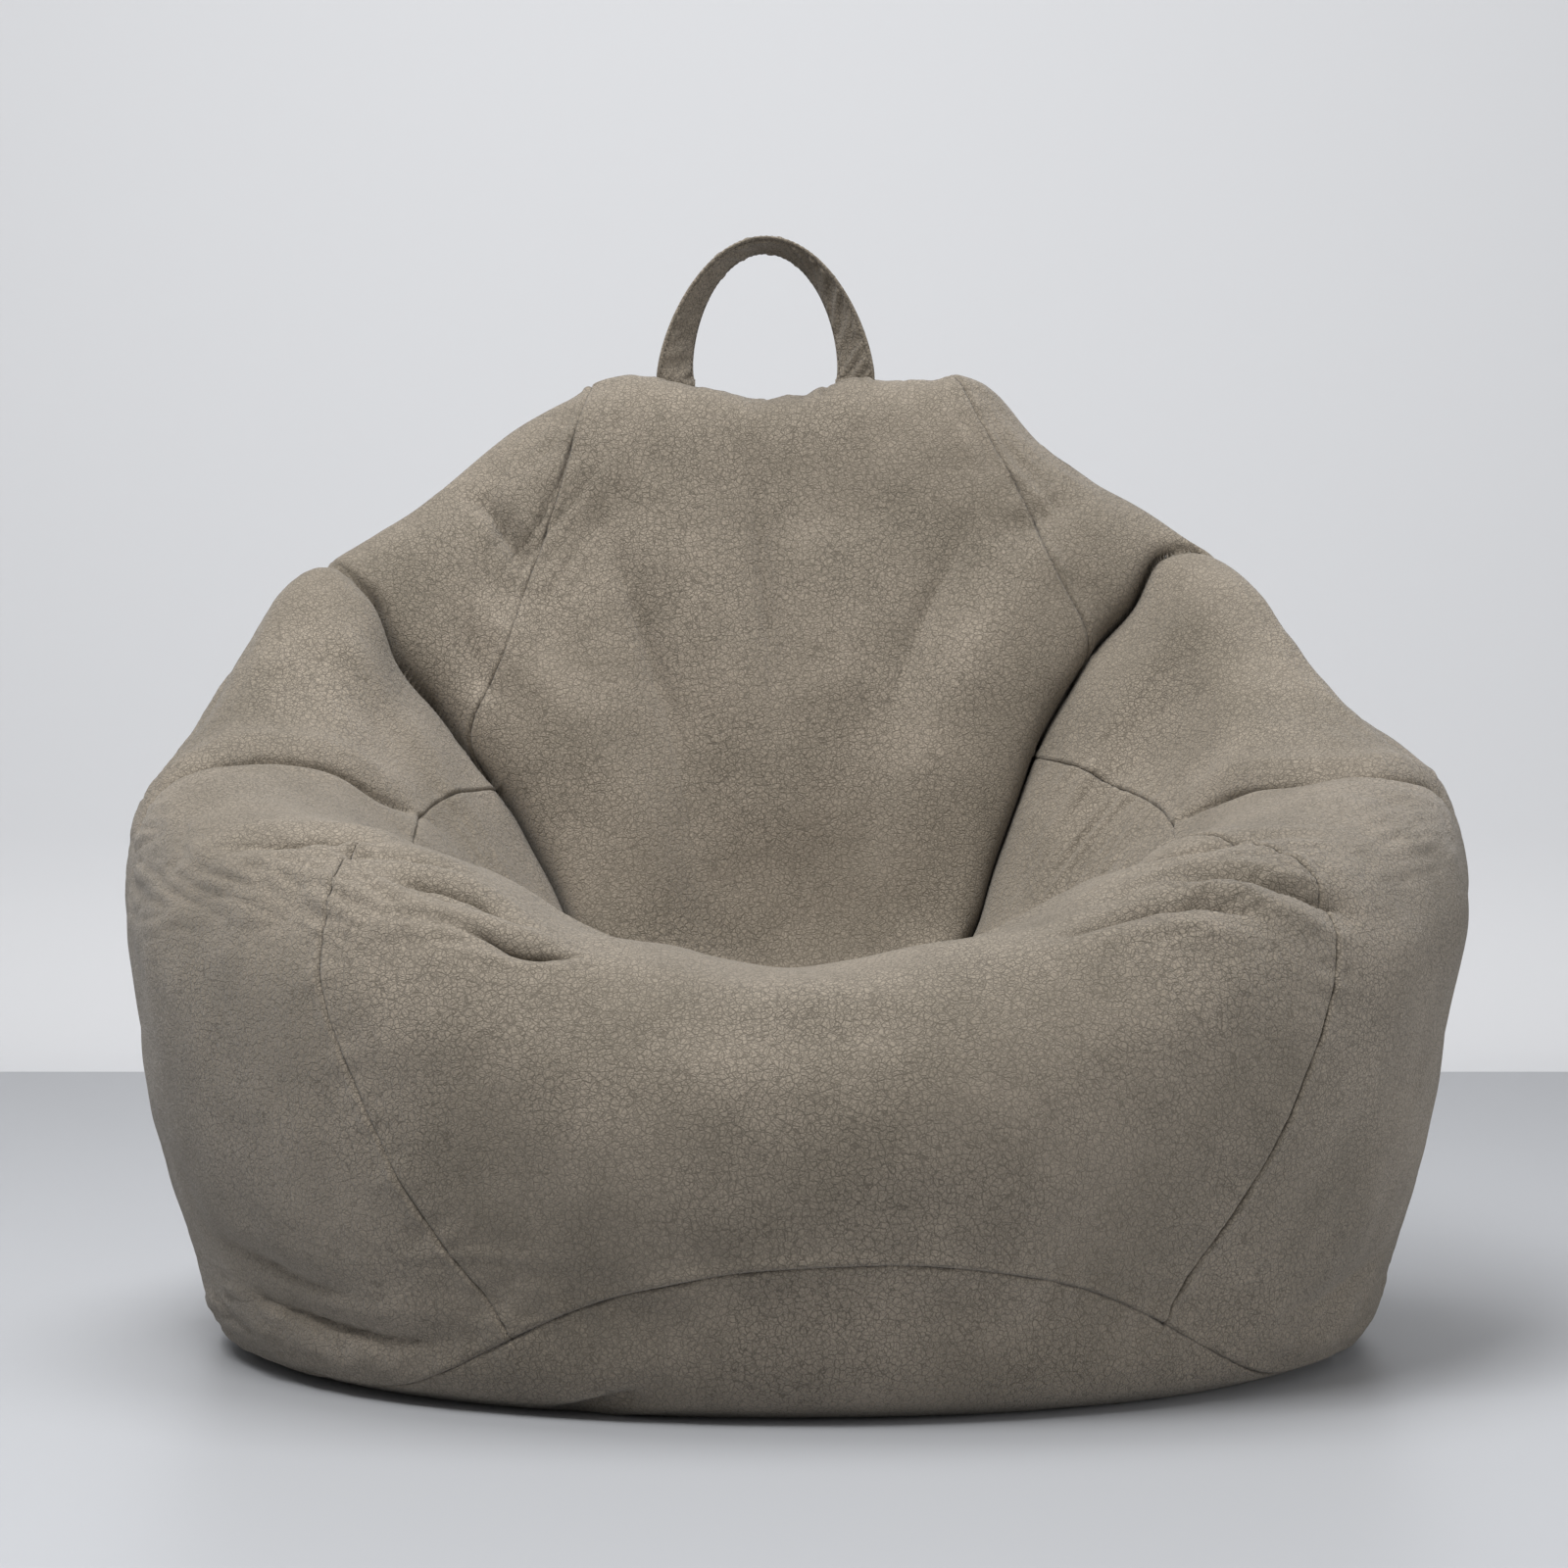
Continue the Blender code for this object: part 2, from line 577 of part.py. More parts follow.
def liner_zip(home, cutters):
    """Lies along X in the liner's base, its outer side facing the floor."""
    along, out = Vector((1, 0, 0)), Vector((0, 0, -1))
    across = out.cross(along)
    turn = Matrix([(across.x, out.x, along.x), (across.y, out.y, along.y), (across.z, out.z, along.z)])
    frame = Matrix.Translation((-LINER_ZIP_HALF, FORM_CENTRE_Y, LINER_ZIP_Z)) @ turn.to_4x4()
    length = 2 * LINER_ZIP_HALF
    coil_and_tape(("liner_", ("rear", "front")), length, home, frame)
    slider("liner_zip_slider", length - SLIDER_LENGTH / 2 - .001, home, cutters, frame, False)
    for ending, low, high in (("start", -.0036, -.0005), ("end", length + .0005, length + .0036)):
        zip_box(f"liner_zip_stop_{ending}", (-.0034, COIL_BOTTOM, low), (.0034, COIL_TOP + .0004, high),
                ZIP_METAL, home, frame, .0003)


def main():
    clear_scene()
    home = collection("bean_bag_chair")
    cutters = collection("cutters")
    cover(home)
    liner(home)
    filling(home)
    handle(home)
    rear_zip(home, cutters)
    liner_zip(home, cutters)


main()
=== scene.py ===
"""Bean bag chair: the looks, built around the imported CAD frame.

The cover is one grid of points over the bag's form. Swells and wide folds move the points, a cloth
simulation settles them, then come the narrow folds, creases and seams, and the grid is cut along its
seam lines into the sewn panels.
"""
import json
import math
from collections import namedtuple

import bmesh
import bpy
import numpy as np
from mathutils import Matrix, Vector


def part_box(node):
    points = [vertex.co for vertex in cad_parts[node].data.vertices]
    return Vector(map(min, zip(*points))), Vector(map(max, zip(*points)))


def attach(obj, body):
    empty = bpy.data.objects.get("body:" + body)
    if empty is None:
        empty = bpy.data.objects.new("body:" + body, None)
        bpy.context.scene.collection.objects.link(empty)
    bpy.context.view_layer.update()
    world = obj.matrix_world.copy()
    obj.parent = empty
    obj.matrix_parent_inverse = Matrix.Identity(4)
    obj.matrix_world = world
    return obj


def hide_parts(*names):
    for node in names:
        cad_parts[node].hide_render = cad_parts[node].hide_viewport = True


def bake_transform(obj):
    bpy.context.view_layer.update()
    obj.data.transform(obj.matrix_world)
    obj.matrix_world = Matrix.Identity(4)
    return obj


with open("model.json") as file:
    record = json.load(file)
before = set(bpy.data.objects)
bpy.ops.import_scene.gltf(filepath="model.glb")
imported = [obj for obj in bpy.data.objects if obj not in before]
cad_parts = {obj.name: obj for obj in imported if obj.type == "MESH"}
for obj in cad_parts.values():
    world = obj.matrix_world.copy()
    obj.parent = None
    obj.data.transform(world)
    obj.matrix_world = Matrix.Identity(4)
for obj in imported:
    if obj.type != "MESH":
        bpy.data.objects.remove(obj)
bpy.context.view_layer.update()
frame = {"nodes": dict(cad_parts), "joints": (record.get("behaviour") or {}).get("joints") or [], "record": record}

# ---- the form, as in the CAD part
MERIDIANS = {
    0: [(.385, 0), (.412, .010), (.448, .085), (.474, .175), (.456, .245), (.405, .288),
        (.345, .297), (.300, .288), (.262, .268), (.180, .235), (.100, .218)],
    45: [(.395, 0), (.421, .010), (.452, .085), (.484, .205), (.482, .300), (.440, .355),
         (.380, .368), (.332, .358), (.285, .330), (.195, .265), (.110, .225)],
    90: [(.400, 0), (.425, .010), (.448, .085), (.474, .225), (.489, .350), (.452, .425),
         (.405, .442), (.355, .430), (.300, .385), (.205, .295), (.120, .235)],
    118: [(.395, 0), (.420, .010), (.445, .085), (.462, .230), (.470, .410), (.428, .515),
          (.392, .572), (.355, .560), (.315, .470), (.225, .330), (.130, .245)],
    150: [(.390, 0), (.415, .010), (.445, .085), (.450, .240), (.410, .480), (.352, .655),
          (.310, .706), (.282, .695), (.270, .590), (.205, .380), (.135, .255)],
    180: [(.385, 0), (.410, .010), (.440, .085), (.424, .240), (.378, .480), (.336, .660),
          (.285, .712), (.250, .697), (.243, .590), (.195, .385), (.135, .255)],
}
SEAT_HEIGHT = .210
SEAT_CENTRE_Y = -.050
SEAT_SHIFT = {9: .35, 10: .8, 11: 1.0, 12: 1.0}
FORM_CENTRE_Y = .01613

# Seams: (station, azimuth) pairs. A station runs from 0 at the base centre to 1 at the seat centre.
LEFT, RIGHT = -1, 1
FRONT_SEAM = {LEFT: [(0, 22), (.32, 25), (.37, 30), (.44, 35), (.52, 39), (.60, 42), (.65, 46.5),
                     (.785, 50), (1, 50)],
              RIGHT: [(0, 32), (.33, 34), (.40, 39.5), (.47, 44), (.54, 47), (.65, 47.5), (.785, 50),
                      (1, 50)]}
BACK_SEAM = {LEFT: [(0, 150), (.66, 149), (.70, 142.3), (.72, 138.5), (.735, 134.5), (.753, 129.5),
                    (.770, 125.8), (.79, 126.8), (.84, 130), (1, 134)],
             RIGHT: [(0, 156), (.66, 155.5), (.69, 148.8), (.72, 139), (.742, 133.2), (.765, 133.2),
                     (.79, 135.4), (.84, 138), (1, 140)]}
BASE_FLAT = .25                        # station at the edge of the flat of the base
BASE_SEAM = .285
FRONT_LIP = .076                       # how far the base panel is drawn up the front wall
FRONT_LIP_AZIMUTH = 5.0
FRONT_LIP_HALF_ANGLE = 48.0
FRONT_LIP_SHARPNESS = 1.3
TOP_SEAM = .660
ARM_SEAM = [(0, .755), (60, .755), (97, .766), (122, .789), (136, .795), (180, .80)]
CELLS = {"front": 88, "side": 176, "back": 48,                           # round the bag, per half
         "flat": 8, "lip": 18, "wall": 136, "inner": 60, "seat": 48}     # from base to seat
FINE_CELLS = [.22, .26, .38, .60]      # the cells beside a seam, as shares of a plain one


def hermite(knots, values, where):
    """Cubic curves through values[..., k] at knots[k], read at where, which matches values[..., 0]."""
    knots, values, where = (np.asarray(given, float) for given in (knots, values, where))
    step = np.diff(knots)
    slope = np.diff(values) / step
    tangent = np.concatenate([slope[..., :1], (slope[..., :-1] * step[1:] + slope[..., 1:] * step[:-1])
                              / (step[:-1] + step[1:]), slope[..., -1:]], axis=-1)
    at = np.clip(np.searchsorted(knots, where, side="right") - 1, 0, len(knots) - 2)
    h = step[at]
    s = (where - knots[at]) / h

    def pick(table, index):
        index = np.broadcast_to(index, np.broadcast_shapes(index.shape, table.shape[:-1]))
        table = np.broadcast_to(table, index.shape + table.shape[-1:])
        return np.take_along_axis(table, index[..., None], axis=-1)[..., 0]

    return ((2 * s**3 - 3 * s**2 + 1) * pick(values, at) + (s**3 - 2 * s**2 + s) * h * pick(tangent, at)
            + (3 * s**2 - 2 * s**3) * pick(values, at + 1) + (s**3 - s**2) * h * pick(tangent, at + 1))


def meridian_rows(azimuth):
    """(radius, height) at every row of the meridians, for an array of azimuths: shape (2, rows, n)."""
    keys = sorted(MERIDIANS)
    azimuths = [-keys[1]] + keys + [360 - keys[-2]]
    order = [keys[1]] + keys + [keys[-2]]
    table = np.moveaxis(np.array([MERIDIANS[key] for key in order]), 0, -1)
    flat = np.abs(azimuth).ravel()
    rows = hermite(azimuths, table[:, :, None, :], np.broadcast_to(flat, table.shape[:2] + flat.shape))
    rows = np.moveaxis(rows, 1, 0)
    start, end = np.zeros((2, 1, flat.size)), np.zeros((2, 1, flat.size))
    end[1] = SEAT_HEIGHT
    return np.concatenate([start, rows, end], axis=1)


def mean_stations():
    """Stations of the meridians' rows: their share of the mean length along a meridian."""
    rows = meridian_rows(np.arange(0, 181, 15.0))
    steps = np.linalg.norm(np.diff(rows, axis=1), axis=0).mean(axis=1)
    along = np.concatenate([[0], np.cumsum(steps)])
    return along / along[-1]


STATIONS = mean_stations()
SHIFTS = np.array([SEAT_CENTRE_Y * SEAT_SHIFT.get(k, 0) for k in range(len(STATIONS))])


def form(azimuth, station):
    """Points of the plain form, for arrays of azimuth in degrees and station."""
    azimuth, station = np.broadcast_arrays(np.asarray(azimuth, float), np.asarray(station, float))
    shape = azimuth.shape
    azimuth, station = ((azimuth.ravel() + 180) % 360) - 180, station.ravel()
    rows = np.moveaxis(meridian_rows(azimuth), 1, -1)
    radius, height = hermite(STATIONS, rows, np.broadcast_to(station, (2, station.size)))
    shift = hermite(STATIONS, SHIFTS, station)
    height = np.where(station <= STATIONS[1], 0, np.maximum(height, 0))
    angle = np.radians(azimuth)
    y = shift - radius * np.cos(angle) + FORM_CENTRE_Y
    points = np.stack([radius * np.sin(angle), y, height], -1)
    return points.reshape(shape + (3,))


# ---- the grid
def graded(count, fine_start=True, fine_end=True):
    """Shares from 0 to 1 with small cells beside a seam."""
    sizes = np.ones(count)
    if fine_start:
        sizes[:len(FINE_CELLS)] = FINE_CELLS
    if fine_end:
        sizes[-len(FINE_CELLS):] = FINE_CELLS[::-1]
    return np.concatenate([[0], np.cumsum(sizes) / sizes.sum()])


def base_seam(azimuth):
    off = np.abs(azimuth - FRONT_LIP_AZIMUTH) / FRONT_LIP_HALF_ANGLE
    return BASE_SEAM + FRONT_LIP * np.cos(np.minimum(off, 1) * math.pi / 2) ** FRONT_LIP_SHARPNESS


def smooth_step(low, high, value):
    share = np.clip((value - low) / (high - low), 0, 1)
    return share * share * (3 - 2 * share)


def read_table(table, where):
    knots, values = zip(*table)
    return hermite(knots, np.broadcast_to(values, np.shape(where) + (len(values),)), where)


def row_stations(azimuth):
    """Stations of all rows for an array of azimuths (n,): shape (n, rows)."""
    seam = base_seam(azimuth)[:, None]
    flat = np.tile(BASE_FLAT * np.linspace(0, 1, CELLS["flat"] + 1), (len(azimuth), 1))
    lip = BASE_FLAT + (seam - BASE_FLAT) * graded(CELLS["lip"], fine_start=False)
    wall = seam + (TOP_SEAM - seam) * graded(CELLS["wall"])
    arm = read_table(ARM_SEAM, np.abs(azimuth))[:, None]
    inner = TOP_SEAM + (arm - TOP_SEAM) * graded(CELLS["inner"])
    seat = arm + (1 - arm) * graded(CELLS["seat"], fine_end=False)
    parts = [flat[:, :-1], lip[:, :-1], wall[:, :-1], inner[:, :-1], seat]
    return np.concatenate(parts, axis=1)


ROW_BASE = CELLS["flat"] + CELLS["lip"]
ROW_TOP = ROW_BASE + CELLS["wall"]
ROW_ARM = ROW_TOP + CELLS["inner"]
ROWS = ROW_ARM + CELLS["seat"]
LINE_FRONT = CELLS["front"]
LINE_BACK = LINE_FRONT + CELLS["side"]
HALF = LINE_BACK + CELLS["back"]
COLUMNS = 2 * HALF
GRID_ROUNDS = 4                        # an azimuth depends on its station and the other way round


def column_azimuth(side, line, station):
    """Azimuth of one column line of one half, for arrays of line number and station."""
    front, back = read_table(FRONT_SEAM[side], station), read_table(BACK_SEAM[side], station)
    shares = [np.interp(line, np.arange(n0, n0 + n + 1), graded(n))
              for n0, n in ((0, CELLS["front"]), (LINE_FRONT, CELLS["side"]), (LINE_BACK, CELLS["back"]))]
    return side * (shares[0] * front + shares[1] * (back - front) + shares[2] * (180 - back))


def grid_parameters():
    """Azimuth and station of every grid point: two arrays (columns + 1, rows + 1)."""
    column = np.arange(COLUMNS + 1)
    side = np.where(column < HALF, LEFT, RIGHT)
    line = np.abs(column - HALF)
    azimuth = np.zeros((COLUMNS + 1, ROWS + 1))
    station = np.zeros_like(azimuth)
    for which in (LEFT, RIGHT):
        mine = side == which
        lines = np.tile(line[mine][:, None], (1, ROWS + 1))
        angle = column_azimuth(which, lines, np.full(lines.shape, .5))
        for _ in range(GRID_ROUNDS):
            stations = np.stack([row_stations(angle[:, r])[:, r] for r in range(ROWS + 1)], axis=1)
            angle = column_azimuth(which, lines, stations)
        azimuth[mine], station[mine] = angle, stations
    return azimuth, station


def grid_normals(points):
    """Normals of the whole grid, whose first and last columns are the same."""
    ring = points[:-1]
    across = np.roll(ring, -1, axis=0) - np.roll(ring, 1, axis=0)
    along = np.gradient(ring, axis=1)
    normals = np.cross(across, along)
    normals /= np.maximum(np.linalg.norm(normals, axis=2, keepdims=True), 1e-12)
    normals[:, 0] = (0, 0, -1)
    normals[:, -1] = (0, 0, 1)
    return np.concatenate([normals, normals[:1]])


# ---- helpers
def show(name, data):
    """Puts a mesh, a light or a camera in the scene as an object."""
    made = bpy.data.objects.new(name, data)
    bpy.context.scene.collection.objects.link(made)
    return made


def waves(points, length, seed, count=48, spread=.35):
    """Smooth noise of about unit size whose bumps are about length apart."""
    draw = np.random.default_rng(seed)
    direction = draw.normal(size=(count, 3))
    direction /= np.linalg.norm(direction, axis=1, keepdims=True)
    size = 2 * math.pi / length * draw.uniform(1 - spread, 1 + spread, (count, 1))
    vector = direction * size
    phase = draw.uniform(0, 2 * math.pi, count)
    total = np.zeros(len(points))
    for k in range(count):
        total += np.sin(points @ vector[k] + phase[k])
    return total * math.sqrt(2 / count)


# ---- folds
# Each fold: depth and half width in metres; how far the flank on the right hand of the route leans over
# the other one (negative: the left one); how far the leaning flank stands above the other (step); the
# tapers at its two ends as shares of its length; and its route as (azimuth, station).
Fold = namedtuple("Fold", "name depth width lean step ends route")
FOLDS = [
    # where the wings and the back bulge over the arms
    Fold("left_wing", .066, .068, -.014, .008, (.52, .16),
         [(-120, .585), (-118, .615), (-116.5, .648), (-115.5, .680), (-117.5, .713),
          (-121.8, .743), (-125, .775), (-128, .805), (-130, .840), (-131, .875), (-134, .915)]),
    Fold("right_wing", .066, .068, .014, .008, (.46, .16),
         [(121, .615), (121.5, .645), (123.5, .675), (126.5, .712), (130.5, .738),
          (133.2, .765), (135.5, .791), (137, .826), (138.5, .860), (139.5, .905)]),
    # across the tops of the arms: the rear part lies over the front one
    Fold("left_arm_upper", .014, .026, -.008, .0025, (.15, .40),
         [(-79, .560), (-81.5, .604), (-82.1, .632), (-83, .650), (-85, .665), (-86, .674),
          (-88, .694), (-94.5, .738), (-102, .773), (-111, .803)]),
    Fold("left_arm_lower", .017, .028, -.009, .003, (.40, .45),
         [(-61, .580), (-55.2, .615), (-52, .629), (-50, .641), (-47.4, .659), (-48, .690),
          (-55, .745), (-66, .800)]),
    Fold("right_arm_upper", .016, .027, .009, .003, (.15, .40),
         [(86, .560), (84, .600), (80.1, .636), (79.3, .653), (80.7, .673), (83.7, .696),
          (91.3, .731), (96.9, .765), (104, .800)]),
    Fold("right_arm_lower", .010, .035, .004, .003, (.45, .45),
         [(52, .622), (46, .645), (43, .668), (46, .705), (55, .745), (66, .800)]),
    # short deep folds where the arms meet the front roll
    Fold("right_front_roll", .021, .020, .010, .004, (.4, .4),
         [(32.5, .618), (35.4, .622), (37.5, .621), (40.4, .611), (42.6, .593), (45.4, .575),
          (48, .560), (51.5, .545)]),
    Fold("right_front_roll_low", .021, .021, .010, .004, (.5, .35),
         [(21, .606), (25.5, .609), (29, .608), (32.6, .604), (36.2, .590), (41, .564)]),
    Fold("right_front_roll_high", .007, .016, .004, .001, (.5, .5),
         [(40, .652), (46, .645), (51, .632), (55, .612)]),
    Fold("left_front_roll", .018, .020, -.009, .003, (.5, .45),
         [(-40, .610), (-35.5, .623), (-32, .629), (-29.4, .631), (-26.4, .625), (-24, .615)]),
    Fold("left_front_roll_low", .016, .018, -.008, .003, (.5, .45),
         [(-30, .588), (-26.8, .596), (-23.6, .596), (-21, .601), (-17.5, .608)]),
    Fold("left_rim", .008, .018, -.004, .001, (.5, .5),
         [(-48, .622), (-42, .636), (-37, .644), (-30, .648)]),
    # pulled at the back seams
    Fold("left_back_pinch", .014, .018, .004, .002, (.5, .45),
         [(-129, .672), (-131.5, .695), (-133.5, .714), (-137, .738)]),
    Fold("left_back_pinch_low", .009, .017, .003, .001, (.5, .45),
         [(-125.5, .715), (-127, .738), (-129.5, .762), (-133, .785)]),
    Fold("right_back_pinch", .007, .020, -.003, 0, (.5, .45),
         [(134, .690), (137, .708), (141, .722), (146, .735)]),
    # low down, where the cover is gathered to the base
    Fold("left_foot_high", .008, .026, .003, .001, (.5, .5),
         [(-70, .352), (-58, .345), (-46, .335), (-34, .332)]),
    Fold("base_band", .012, .022, .006, .003, (.5, .5),
         [(-66, .330), (-51.5, .320), (-44, .315), (-36, .315), (-25, .321)]),
    Fold("floor_tuck", .012, .018, .004, .001, (.5, .5),
         [(-26, .268), (-19, .282), (-14, .294), (-9, .307)]),
    Fold("right_foot", .007, .026, -.003, .001, (.5, .5),
         [(76, .335), (64, .330), (54, .322), (44, .330)]),
    # long soft folds down the back panel
    Fold("back_left", .020, .052, 0, 0, (.5, .5),
         [(-141, .690), (-146.5, .727), (-150, .756), (-153, .787), (-155.5, .815), (-158, .88)]),
    Fold("back_middle", .019, .052, 0, 0, (.45, .5),
         [(-174.5, .668), (-173.5, .700), (-174, .740), (-176, .793), (-178, .85)]),
    Fold("back_right", .014, .048, 0, 0, (.5, .5),
         [(147, .715), (152, .749), (156, .774), (161, .82)]),
]
FOLD_CLOSING = .80                     # how nearly a fold's two flanks meet ...
FOLD_LIP = .42                         # ... and over what share of its half width
FOLD_REACH = 1.7                       # how far out a fold is felt, in half widths
FOLD_SHOULDER = (.08, .9, .35)         # the swelling beside it: share of its depth, place and half width
LIP_RADIUS = .006                      # the rounded edge of a flank that stands above the other
LIP_FADE = 1.1
LEAN_FADE, LEAN_START = .5, .008
WIDE_FOLD = .04                        # wide folds come before the cloth settles, narrow ones after it
NARROW_FOLD_POWER = 1.7                # the V of a narrow fold
VALLEY_SOFTNESS = .0015                # rounding of a valley's very bottom

# Broad differences from the even form of the CAD: centre as azimuth and station, half widths in
# degrees (wide) and stations (high), and the push outwards in metres.
Swell = namedtuple("Swell", "name azimuth station wide high push")
SWELLS = [
    Swell("left_shoulder", -114.5, .655, 6, .040, .020),
    Swell("left_arm_side", -106, .625, 7, .045, .008),
    Swell("left_wing_notch", -127, .660, 6, .035, -.001),
    Swell("left_wing_top", -140, .655, 9, .045, .005),
    Swell("left_back_corner", -153, .660, 6, .035, .009),
    Swell("right_back_corner", 150, .658, 7, .035, .009),
    Swell("right_wing_top", 142, .655, 7, .045, -.018),
    Swell("right_wing_mid", 132, .650, 6, .045, -.019),
    Swell("right_wing_slack", 105, .630, 15, .055, -.017),
    Swell("left_elbow", -82, .530, 25, .070, -.006),
    Swell("right_elbow", 86, .540, 25, .070, -.002),
    Swell("right_belly", 76, .440, 30, .080, -.008),
    Swell("right_arm_pocket", 80, .668, 4, .016, -.006),
    Swell("crest_dip", 186, .665, 7, .030, -.006),
    Swell("right_root", 170, .665, 6, .030, .0085),
    Swell("crest_flat", 181, .668, 30, .028, -.0085),
    Swell("back_pillow", 180, .770, 38, .090, .026),
    Swell("seat_hollow", 180, .900, 60, .060, -.030),
    Swell("left_saddle", -24, .665, 9, .050, -.016),
    Swell("right_saddle", 25, .665, 9, .050, -.014),
    Swell("front_crown", 0, .66, 14, .050, -.010),
]
FOOT_NARROWING = .034                  # the foot is this share narrower than the even form ...
FOOT_HEIGHT = .20                      # ... on the floor, fading out at this height


def is_wide(fold):
    return fold.width >= WIDE_FOLD


def distances(samples, points, reach):
    """Nearest sample of a curve for every point within reach: (rows of points, samples, distances)."""
    low, high = samples.min(axis=0) - reach, samples.max(axis=0) + reach
    rows = np.flatnonzero(np.all((points > low) & (points < high), axis=1))
    square = (points[rows] ** 2).sum(axis=1)[:, None] + (samples ** 2).sum(axis=1)[None]
    square = square - 2 * points[rows] @ samples.T
    index = square.argmin(axis=1)
    distance = np.linalg.norm(points[rows] - samples[index], axis=1)
    keep = distance < reach
    return rows[keep], index[keep], distance[keep]


def form_normals(azimuth, station):
    """Outward normals of the plain form."""
    across = form(azimuth + .5, station) - form(azimuth - .5, station)
    along = form(azimuth, station + .002) - form(azimuth, station - .002)
    normal = np.cross(across, along)
    return normal / np.linalg.norm(normal, axis=-1, keepdims=True)


def lengths(line):
    """The length along a line of points, at each of them."""
    return np.concatenate([[0], np.cumsum(np.linalg.norm(np.diff(line, axis=0), axis=1))])


def interpolate(where, knots, line):
    """Points of a line read between its knots."""
    return np.stack([np.interp(where, knots, line[:, axis]) for axis in range(3)], -1)


def route_samples(route, spacing=.0015):
    """A smooth curve through the route: its close samples, their shares of its length, and normals."""
    fine = np.linspace(0, len(route) - 1, 60 * len(route))
    azimuth, station = (read_table(list(enumerate(values)), fine) for values in zip(*route))
    points = form(azimuth, station)
    along = lengths(points)
    even = np.linspace(0, along[-1], max(int(along[-1] / spacing), 8))
    normals = form_normals(np.interp(even, along, azimuth), np.interp(even, along, station))
    return interpolate(even, along, points), even / along[-1], normals


def add_fold(points, plain, normals, fold):
    """Presses one fold into the points, measured on the plain form."""
    samples, share, up = route_samples(fold.route)
    rows, i, distance = distances(samples, plain, fold.width * FOLD_REACH)
    tangent = np.gradient(samples, axis=0)
    tangent /= np.linalg.norm(tangent, axis=1, keepdims=True)
    right = np.cross(tangent, up)[i]
    side = np.sign(np.einsum("ij,ij->i", plain[rows] - samples[i], right))
    start, end = fold.ends
    taper = smooth_step(0, start, share[i]) * smooth_step(0, end, 1 - share[i])
    reach = distance / fold.width
    x = np.clip(np.hypot(distance, VALLEY_SOFTNESS) / fold.width, 0, 1)
    valley = np.sqrt(1 - (1 - x) ** 2) - 1 if is_wide(fold) else -(1 - x) ** NARROW_FOLD_POWER
    height, place, spread = FOLD_SHOULDER
    shoulder = height * np.exp(-((reach - place) / spread) ** 2)
    leaning = side == np.sign(fold.lean)
    lip = np.clip(distance / LIP_RADIUS, 0, 1)
    rise = np.where(leaning, 2 * np.sqrt(1 - (1 - lip) ** 2) - 1, -1) * np.exp(-(reach / LIP_FADE) ** 2)
    push = fold.depth * (valley + shoulder) + fold.step * rise
    points[rows] += normals[rows] * (taper * push)[:, None]
    closing = FOLD_CLOSING * min(fold.depth / fold.width, 1) * distance * np.exp(-(reach / FOLD_LIP) ** 2)
    roll = np.exp(-(reach / LEAN_FADE) ** 2) * (1 - np.exp(-distance / LEAN_START)) * leaning
    points[rows] -= right * (side * taper * (closing + abs(fold.lean) * roll))[:, None]


def away_from(patch, azimuth, station):
    """Squared distance from a patch's centre in half widths."""
    off = (azimuth - patch.azimuth + 180) % 360 - 180
    return (off / patch.wide) ** 2 + ((station - patch.station) / patch.high) ** 2


def add_swell(points, azimuth, station, normals, swell):
    points += normals * (swell.push * np.exp(-away_from(swell, azimuth, station)))[:, None]


# Patches of fine creasing: centre and half widths as for a swell, the direction the creases run in as
# (degrees, stations), their distance apart and height in metres.
Crinkle = namedtuple("Crinkle", "name azimuth station wide high run apart rise")
CRINKLES = [
    Crinkle("left_rear_arm", -98, .610, 15, .050, (-25, .050), .024, .0022),
    Crinkle("left_elbow", -68, .565, 14, .045, (-30, -.030), .019, .0018),
    Crinkle("left_seam_top", -46, .600, 12, .045, (-25, .020), .020, .0024),
    Crinkle("left_roll", -30, .610, 10, .035, (20, .020), .018, .0022),
    Crinkle("right_rear_arm", 98, .610, 14, .050, (25, .050), .024, .0018),
    Crinkle("right_elbow", 64, .605, 14, .040, (30, -.020), .019, .0018),
    Crinkle("right_roll", 38, .615, 13, .035, (25, -.030), .018, .0026),
    Crinkle("right_inner", 112, .815, 15, .040, (4, .080), .018, .0022),
    Crinkle("left_inner", -108, .825, 12, .035, (4, .080), .018, .0014),
    Crinkle("left_seam_low", -30, .345, 9, .030, (20, .010), .018, .0010),
    Crinkle("right_seam_low", 36, .345, 9, .030, (20, -.010), .018, .0006),
    Crinkle("left_foot", -62, .310, 25, .025, (30, .0), .020, .0020),
    Crinkle("right_foot", 62, .310, 25, .025, (30, .0), .020, .0016),
    Crinkle("left_back_seam", -140, .715, 8, .035, (25, .040), .020, .0024),
    Crinkle("right_back_seam", 143, .705, 8, .035, (-25, .030), .020, .0018),
    Crinkle("crest", 178, .675, 18, .022, (3, .080), .022, .0022),
    Crinkle("rear_low", 170, .33, 60, .035, (3, .080), .024, .0018),
]
CRINKLE_STRETCH = 7.0                  # how many times longer than wide the creases are
CRINKLE_SEED = 60
CREASE_SHARPNESS, CREASE_ROLL = 1.8, .3
CRINKLE_REACH = 5                      # where a patch has faded out, as a squared distance in half widths


